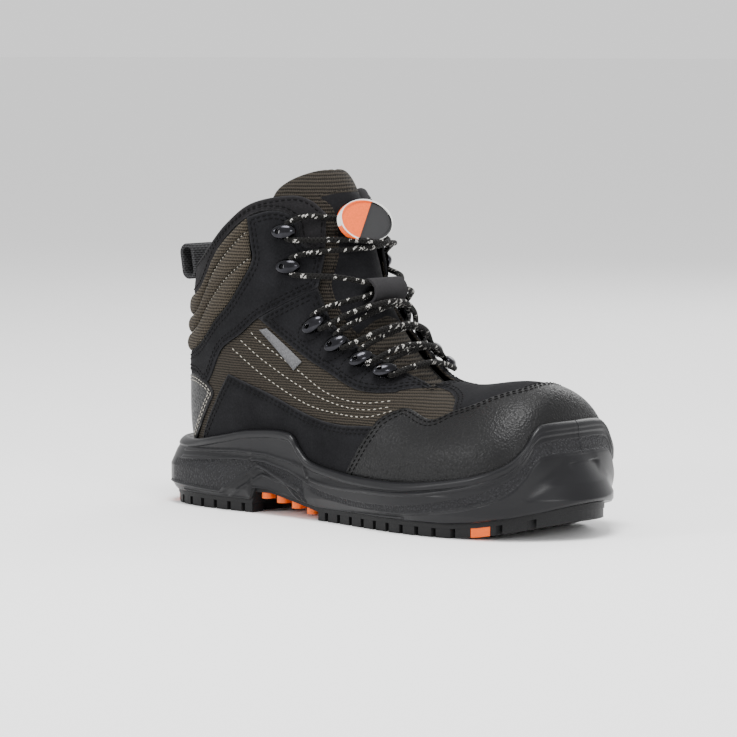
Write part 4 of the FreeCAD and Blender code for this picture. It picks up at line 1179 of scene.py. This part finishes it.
def relief(x, y, z, rim):
    """How far the mould's relief stands out, and the stippled panels, over the wall."""
    below = rim - z
    heel = (1 - soft_step(x, 118, 122)) * soft_step(x, *HEEL_BACK)
    fore = soft_step(x, 122, 126)
    out = BEAD_OUT * ridge(below - BEAD_DEPTH, BEAD_HALF)
    for points in HEEL_LINES:
        out += LINE_OUT * ridge(line_gap(x, z, points), LINE_HALF) * soft_step(x, *HEEL_BACK)
    for points in ARCH_RIBS:
        out += LINE_OUT * ridge(line_gap(x, z, points), LINE_HALF)
    out += FORE_OUT * ridge(below - np.interp(x, *FORE_RIDGE), 1.1) * fore
    on_bumper = soft_step(x, 196, 212) * soft_step(below - BUMPER_DEPTH, 0.0, 1.0)
    out += BUMPER_OUT * on_bumper
    out += 0.5 * ridge(below - BUMPER_DEPTH + 0.4, 0.8) * soft_step(x, 150, 200)
    out += 0.35 * ridge(y - 2.0, 0.5) * soft_step(x, 275, 279) * (1 - on_bumper)
    arch_line = np.interp(x, *np.array(ARCH_RIBS[0]).T)
    under_arch = soft_step(arch_line - 1.0 - z, 0.0, 1.2) * soft_step(x, 50, 60)
    out -= ARCH_IN * under_arch * (1 - soft_step(x, 121, 126))
    panel_top = np.interp(x, *np.array(HEEL_LINES[1]).T) - z
    between = soft_step(z - arch_line, 0.8, 1.4)
    stipple_heel = heel * soft_step(panel_top, 0.8, 1.4) * between
    depth = below - np.interp(x, *FORE_STIPPLE)
    over_bumper = 1 - soft_step(below - BUMPER_DEPTH, -0.8, -0.2)
    stipple_fore = fore * soft_step(depth, 0.0, 0.5) * between * over_bumper
    out -= PANEL_IN * (stipple_heel + stipple_fore)
    return out, np.clip(stipple_heel + stipple_fore, 0, 1)


rows = np.linspace(0, 1, WALL_ROWS)
ring_z, ring_inset, ring_relief, ring_mask = [], [], [], []
for share in rows:
    z = tread_z + (rim_z - tread_z) * share
    slab = np.interp(z, *np.array(SLAB_RINGS).T)
    upper = np.array([upper_inset(column, height) for column, height in enumerate(z)])
    upper = np.median([np.roll(upper, turn) for turn in range(-9, 10, 3)], axis=0)
    gap = np.clip(0.5 + 0.5 * (upper - slab) / 3.0, 0, 1)
    inset = upper * (1 - gap) + slab * gap - 3.0 * gap * (1 - gap)
    out, mask = relief(footprint[:, 0], footprint[:, 1], z, rim_z)
    ring_z.append(z)
    ring_inset.append(inset)
    ring_relief.append(out)
    ring_mask.append(mask)
ring_inset = np.array(ring_inset)
smoothed = ring_inset
for _ in range(SMOOTHING):
    smoothed = (np.roll(smoothed, 1, 1) + 2 * smoothed + np.roll(smoothed, -1, 1)) / 4
edge_fade = soft_step(rows, 0.0, 0.04)[:, None]
final_inset = smoothed - np.array(ring_relief) * edge_fade
rings = [(z, inset, mask) for z, inset, mask in zip(ring_z, final_inset, ring_mask)]
LIP = ((0.5, 0.7), (0.6, 2.0), (-0.6, 3.6), (-5.0, 5.0))
for rise, further in LIP:
    rings.append((rim_z + rise, final_inset[-1] + further, np.zeros(WALL_COLUMNS)))
rings.insert(0, (tread_z - 0.1, final_inset[0] + 9.0, np.zeros(WALL_COLUMNS)))

# %% Midsole mesh: the lowest ring, then one extrusion a row
bm = bmesh.new()
mask_layer = bm.verts.layers.float.new("stipple")
ring, ring_edges = first_ring(bm, WALL_COLUMNS, 0.1)
for index, (z, inset, mask) in enumerate(rings):
    if index:
        ring, ring_edges = next_ring(bm, ring, ring_edges)
    places = footprint + inward * np.reshape(inset, (-1, 1))
    rows_here = to_row(np.column_stack([places, z]))
    for vert, place, value in zip(ring, rows_here, mask):
        vert.co = place
        vert[mask_layer] = float(value)
bmesh.ops.contextual_create(bm, geom=ring_edges)
bmesh.ops.recalc_face_normals(bm, faces=bm.faces[:])
midsole = finish_object(bm, "midsole", "boot", sole_skin)
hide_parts("midsole")
print("midsole faces:", len(midsole.data.polygons))

# %% [markdown]
# ## Stitching
# Every panel is sewn down with visible lockstitch: short rods of thread that dip at each needle hole. They
# run in from the cut edge at an even distance, black on the nubuck and pale along the mesh and the collar.

# %% Rods of thread along a line on the last
STITCH_LONG, STITCH_GAP, THREAD = 2.3, 1.0, 0.33
QUARTER_TURN = Matrix.Rotation(pi / 2, 4, "Y")


def inset_line(name, inset):
    """Closed (u, v) line this many millimetres inside a panel's border."""
    outline, border = PANELS[name]["outline"], PANELS[name]["border"]
    dense = []
    ends = np.roll(outline, -1, axis=0)
    for a, b in zip(outline, ends):
        size = np.linalg.norm(on_last([a[0]], [a[1]]) - on_last([b[0]], [b[1]]))
        count = max(1, int(size / 0.8))
        dense += [a + (b - a) * k / count for k in range(count)]
    dense = np.array(dense)
    here = on_last(dense[:, 0], dense[:, 1])
    way = np.roll(here, -2, axis=0) - np.roll(here, 2, axis=0)
    way /= np.maximum(np.linalg.norm(way, axis=1, keepdims=True), 1e-9)
    normal = last_normal(dense[:, 0], dense[:, 1])
    across = np.cross(normal, way)
    step = 0.004
    du = on_last(dense[:, 0] + step, dense[:, 1]) - here
    dv = on_last(dense[:, 0], dense[:, 1] + step) - here
    uu, uv, vv = (du * du).sum(1), (du * dv).sum(1), (dv * dv).sum(1)
    au, av = (across * du).sum(1), (across * dv).sum(1)
    spread = uu * vv - uv * uv
    move = np.column_stack([(au * vv - av * uv) / spread, (av * uu - au * uv) / spread]) * step
    shifted = [dense + move * inset * sign for sign in (1, -1)]
    sums = [0.5 * np.sum(s[:, 0] * np.roll(s[:, 1], -1) - np.roll(s[:, 0], -1) * s[:, 1]) for s in shifted]
    inner = shifted[0] if abs(sums[0]) < abs(sums[1]) else shifted[1]
    gaps = boundary_distance(on_last(inner[:, 0], inner[:, 1]), border)
    return inner[gaps > inset * 0.93]


def rods(bm, line, height, long=STITCH_LONG, gap=STITCH_GAP, thread=THREAD, closed=False, where=None):
    """Adds stitches along a (u, v) line at a height over the last."""
    line = np.asarray(line, float)
    if closed:
        line = np.vstack([line, line[:1]])
    skin = on_last(line[:, 0], line[:, 1])
    steps = np.linalg.norm(np.diff(skin, axis=0), axis=1)
    run = np.concatenate([[0], np.cumsum(steps)])
    middles = np.arange(long, run[-1] - long / 2, long + gap)
    if len(middles) == 0:
        return 0
    u, v = np.interp(middles, run, line[:, 0]), np.interp(middles, run, line[:, 1])
    ahead = [np.interp(middles + long / 2, run, line[:, k]) for k in (0, 1)]
    behind = [np.interp(middles - long / 2, run, line[:, k]) for k in (0, 1)]
    heights = height if np.ndim(height) else np.full(len(u), height)
    middle = lasted(u, v, heights)
    way = on_last(*ahead) - on_last(*behind)
    normal = last_normal(u, v)
    made = 0
    row_of_rods = bmesh.new()
    for centre, along, out in zip(middle, way, normal):
        size = np.linalg.norm(along)
        if size < long * 0.6 or size > long * 1.6 or (where and not where(*centre)):
            continue
        along = along / size
        across = np.cross(out, along)
        matrix = axes_at(along * long / 2 * MM, across * thread * MM, out * thread * MM, to_row(centre))
        bmesh.ops.create_uvsphere(row_of_rods, u_segments=6, v_segments=5, radius=1.0,
                                  matrix=matrix @ QUARTER_TURN)
        made += 1
    sewn = bpy.data.meshes.new("row_of_rods")
    row_of_rods.to_mesh(sewn)
    row_of_rods.free()
    bm.from_mesh(sewn)
    bpy.data.meshes.remove(sewn)
    return made


def border_rows(bm, name, insets, rise=0.12, **kwargs):
    """Stitches round a whole panel, one row for each distance from its edge."""
    made = 0
    profile = PANELS[name]["profile"]
    for inset in insets:
        height = float(profile(np.array([inset]))[0]) + rise
        made += rods(bm, inset_line(name, inset), height, closed=True, **kwargs)
    return made


def over_rim(x, y, z):
    return z > np.interp(x, rim_smooth[:, 0], rim_smooth[:, 1]) + 1.0


black = bmesh.new()
count = border_rows(black, "vamp", (2.2, 4.6), where=over_rim)
for side in ("lateral", "medial"):
    count += border_rows(black, f"side_panel_{side}", (2.0, 4.2), where=over_rim)
count += border_rows(black, "toe_guard", (2.2, 4.8), where=over_rim)
count += border_rows(black, "ankle_strap", (2.2, 4.4))
count += border_rows(black, "collar_trim", (2.4,))
OVAL_LONG, OVAL_WIDE, OVAL_BACK = 8.6, 6.0, 1.5         # half sizes of the stitched ovals round the loops
turns = np.linspace(0, 2 * pi, 60, endpoint=False)
for side in ("lateral", "medial"):
    for x, z in LOOPS:
        along, across = OVAL_LONG * np.cos(turns) - OVAL_BACK, OVAL_WIDE * np.sin(turns)
        oval_x = x + along * cos(LOOP_LEAN) - across * sin(LOOP_LEAN)
        oval_z = z + along * sin(LOOP_LEAN) + across * cos(LOOP_LEAN)
        oval = find(np.column_stack([oval_x, oval_z]), side)
        count += rods(black, oval, VAMP_HEIGHT + 0.12, long=1.5, gap=1.0, thread=0.3, closed=True)
finish_object(black, "stitches_black", "boot", black_thread)
pale = bmesh.new()
count += border_rows(pale, "heel_patch", (2.0, 3.8), where=over_rim)
for line in (RIB_LINE_1, RIB_LINE_2):
    count += rods(pale, both_sides(line, "back"), 0.25, long=1.5, gap=1.3, thread=0.34)
MESH_LINES = (
    ((80, 102), (88, 96), (115, 82), (136, 71), (158, 67), (176, 69)),
    ((72, 97), (90, 86), (118, 73), (142, 65.5), (162, 63.5), (177, 66)),
    ((65, 92), (91, 77), (122, 64), (148, 60), (165, 60), (179, 64)),
)
for line in MESH_LINES:
    for side in ("lateral", "medial"):
        sewn_line = find(smooth(line), side)
        count += rods(pale, sewn_line, QUARTER_HEIGHT + 0.15, long=2.0, gap=1.5, thread=0.3)
finish_object(pale, "stitches_pale", "boot", pale_thread)
tongue_rows = bmesh.new()
count += border_rows(tongue_rows, "tongue_overlay", (2.2,))
finish_object(tongue_rows, "stitches_tongue", "tongue", black_thread)
print("stitches:", count)

# %% Worn bright rims round the fittings' slots
SLOT_RADIUS, SLOT_THICK, SLOT_BACK, SLOT_RISE, SLOT_STRETCH = 1.75, 0.42, 3.2, 4.45, 1.25
SLOT_TILT = (0.92, -0.39)           # outwards and lengthwise shares of the rim's axis
UPRIGHT = Matrix.Translation((SLOT_RADIUS, 0, 0)) @ Matrix.Rotation(pi / 2, 4, "X")
slot_rims = bmesh.new()
for _, channel_way, length_way, out, base in fittings:
    ring = bmesh.new()
    bmesh.ops.create_circle(ring, segments=8, radius=SLOT_THICK, matrix=UPRIGHT)
    bmesh.ops.spin(ring, geom=ring.verts[:] + ring.edges[:], cent=(0, 0, 0), axis=(0, 0, 1), angle=2 * pi,
                   steps=24, use_merge=True)
    tilt = out * SLOT_TILT[0] + length_way * SLOT_TILT[1]
    frame_here = axes_at(np.cross(channel_way, tilt) * SLOT_STRETCH * MM, channel_way * MM, tilt * MM,
                         to_row(base - length_way * SLOT_BACK + out * SLOT_RISE))
    bmesh.ops.transform(ring, matrix=frame_here, verts=ring.verts[:])
    bmesh.ops.recalc_face_normals(ring, faces=ring.faces[:])
    cast = bpy.data.meshes.new("slot_rim")
    ring.to_mesh(cast)
    ring.free()
    slot_rims.from_mesh(cast)
    bpy.data.meshes.remove(cast)
finish_object(slot_rims, "slot_rims", "boot", bright_rim)

# %% Blank woven tag, sewn to the mesh
tag_corners = ((87, 103), (92, 104), (117, 87), (112, 82), (87, 103))
tag_line = np.vstack([find(smooth((a, b)), "lateral")[:-1] for a, b in zip(tag_corners, tag_corners[1:])])
tag = panel("woven_tag", tag_line, "boot", tag_cloth, pressed(0.15, 0.1, 1.0), thick=0.6)
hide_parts("woven_tag")

# %% [markdown]
# ## Parts that keep their drawn shape
# Castings, rivets, the tread, the coloured blocks, the badge, the keeper, the pull loop and the insole keep
# the shapes of the solid model, with finishes of their own.

# %% Badge: two colours, a pale rim and a black divide, no lettering
badge_paint, g, shader = finish_base("badge_two_colours", Roughness=0.45)
low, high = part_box("tongue_badge")
place = g.place()
axes = g.node("ShaderNodeSeparateXYZ", {0: place}).outputs
middle = (low + high) / 2
DIVIDE_LEAN, DIVIDE_HALF = 0.9, 0.0011
FACE_HALF_Z, FACE_RISE = 0.0118, 0.0006             # the tilted face's oval in height, metres
side_way = g.math("SUBTRACT", axes[1], middle.y)
lean = g.math("MULTIPLY", g.math("SUBTRACT", axes[2], middle.z), DIVIDE_LEAN)
split = g.math("SUBTRACT", side_way, lean)
left = g.math("LESS_THAN", split, 0.0)
fill = g.mix(left, colour((0.012, 0.012, 0.013)), colour((0.78, 0.10, 0.006)))
divide = g.math("LESS_THAN", g.math("ABSOLUTE", split), DIVIDE_HALF)
fill = g.mix(divide, fill, colour((0.008, 0.008, 0.008)))
half_y = (high.y - low.y) / 2
from_mid_z = g.math("SUBTRACT", axes[2], middle.z + FACE_RISE)
oval = g.math("ADD", g.math("POWER", g.math("DIVIDE", side_way, half_y), 2.0),
              g.math("POWER", g.math("DIVIDE", from_mid_z, FACE_HALF_Z), 2.0))
rim = g.math("MULTIPLY", g.math("GREATER_THAN", oval, 0.86), g.math("LESS_THAN", oval, 1.02))
fine = g.node("ShaderNodeTexNoise", {"Vector": place, "Scale": 900.0, "Detail": 2.0}).outputs["Fac"]
base = tinted(g, g.mix(rim, fill, colour((0.62, 0.62, 0.60))), g.ramp(fine, 0.3, 0.7, 0.9, 1.08))
g.tree.links.new(base, shader.inputs["Base Color"])
bump_into(g, shader, fine, 0.00006, 0.6)

# %% Finishes for the kept parts
kept = {
    "outsole": tread_rubber, "tread_lugs": tread_rubber, "heel_insert": orange_skin,
    "forefoot_insert": orange_skin, "arch_bars": orange_skin, "tongue_badge": badge_paint,
    "lace_keeper": nubuck_trim, "lace_aglets": lace_sleeve, "pull_loop": webbing, "footbed": footbed_cloth,
    "insole_board": footbed_cloth, "penetration_plate": gunmetal, "toe_cap": gunmetal,
    "heel_counter": footbed_cloth,
}
SHARP_NODES = ("tread_lugs", "outsole", "heel_insert", "forefoot_insert", "arch_bars")
for kind in ("loops", "hooks"):
    for side in ("lateral", "medial"):
        kept[f"lace_{kind}_{side}"] = gunmetal
        kept[f"{kind[:-1]}_rivets_{side}"] = bright_rim
for node, material in kept.items():
    data = frame["nodes"][node].data
    data.materials.clear()
    data.materials.append(material)
    for face in data.polygons:
        face.use_smooth = node not in SHARP_NODES
    data.update()

# %% What each panel stands for
replaced = {
    "quarter_mesh": ("quarter_mesh_lateral", "quarter_mesh_medial"), "vamp": ("vamp",),
    "side_panel_lateral": ("side_panel_lateral",), "side_panel_medial": ("side_panel_medial",),
    "toe_guard": ("toe_guard",), "heel_patch": ("heel_patch",),
    "ankle_strap": ("ankle_strap_lateral", "ankle_strap_medial"), "collar_trim": ("collar_trim",),
}
for name, nodes in replaced.items():
    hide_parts(*nodes)
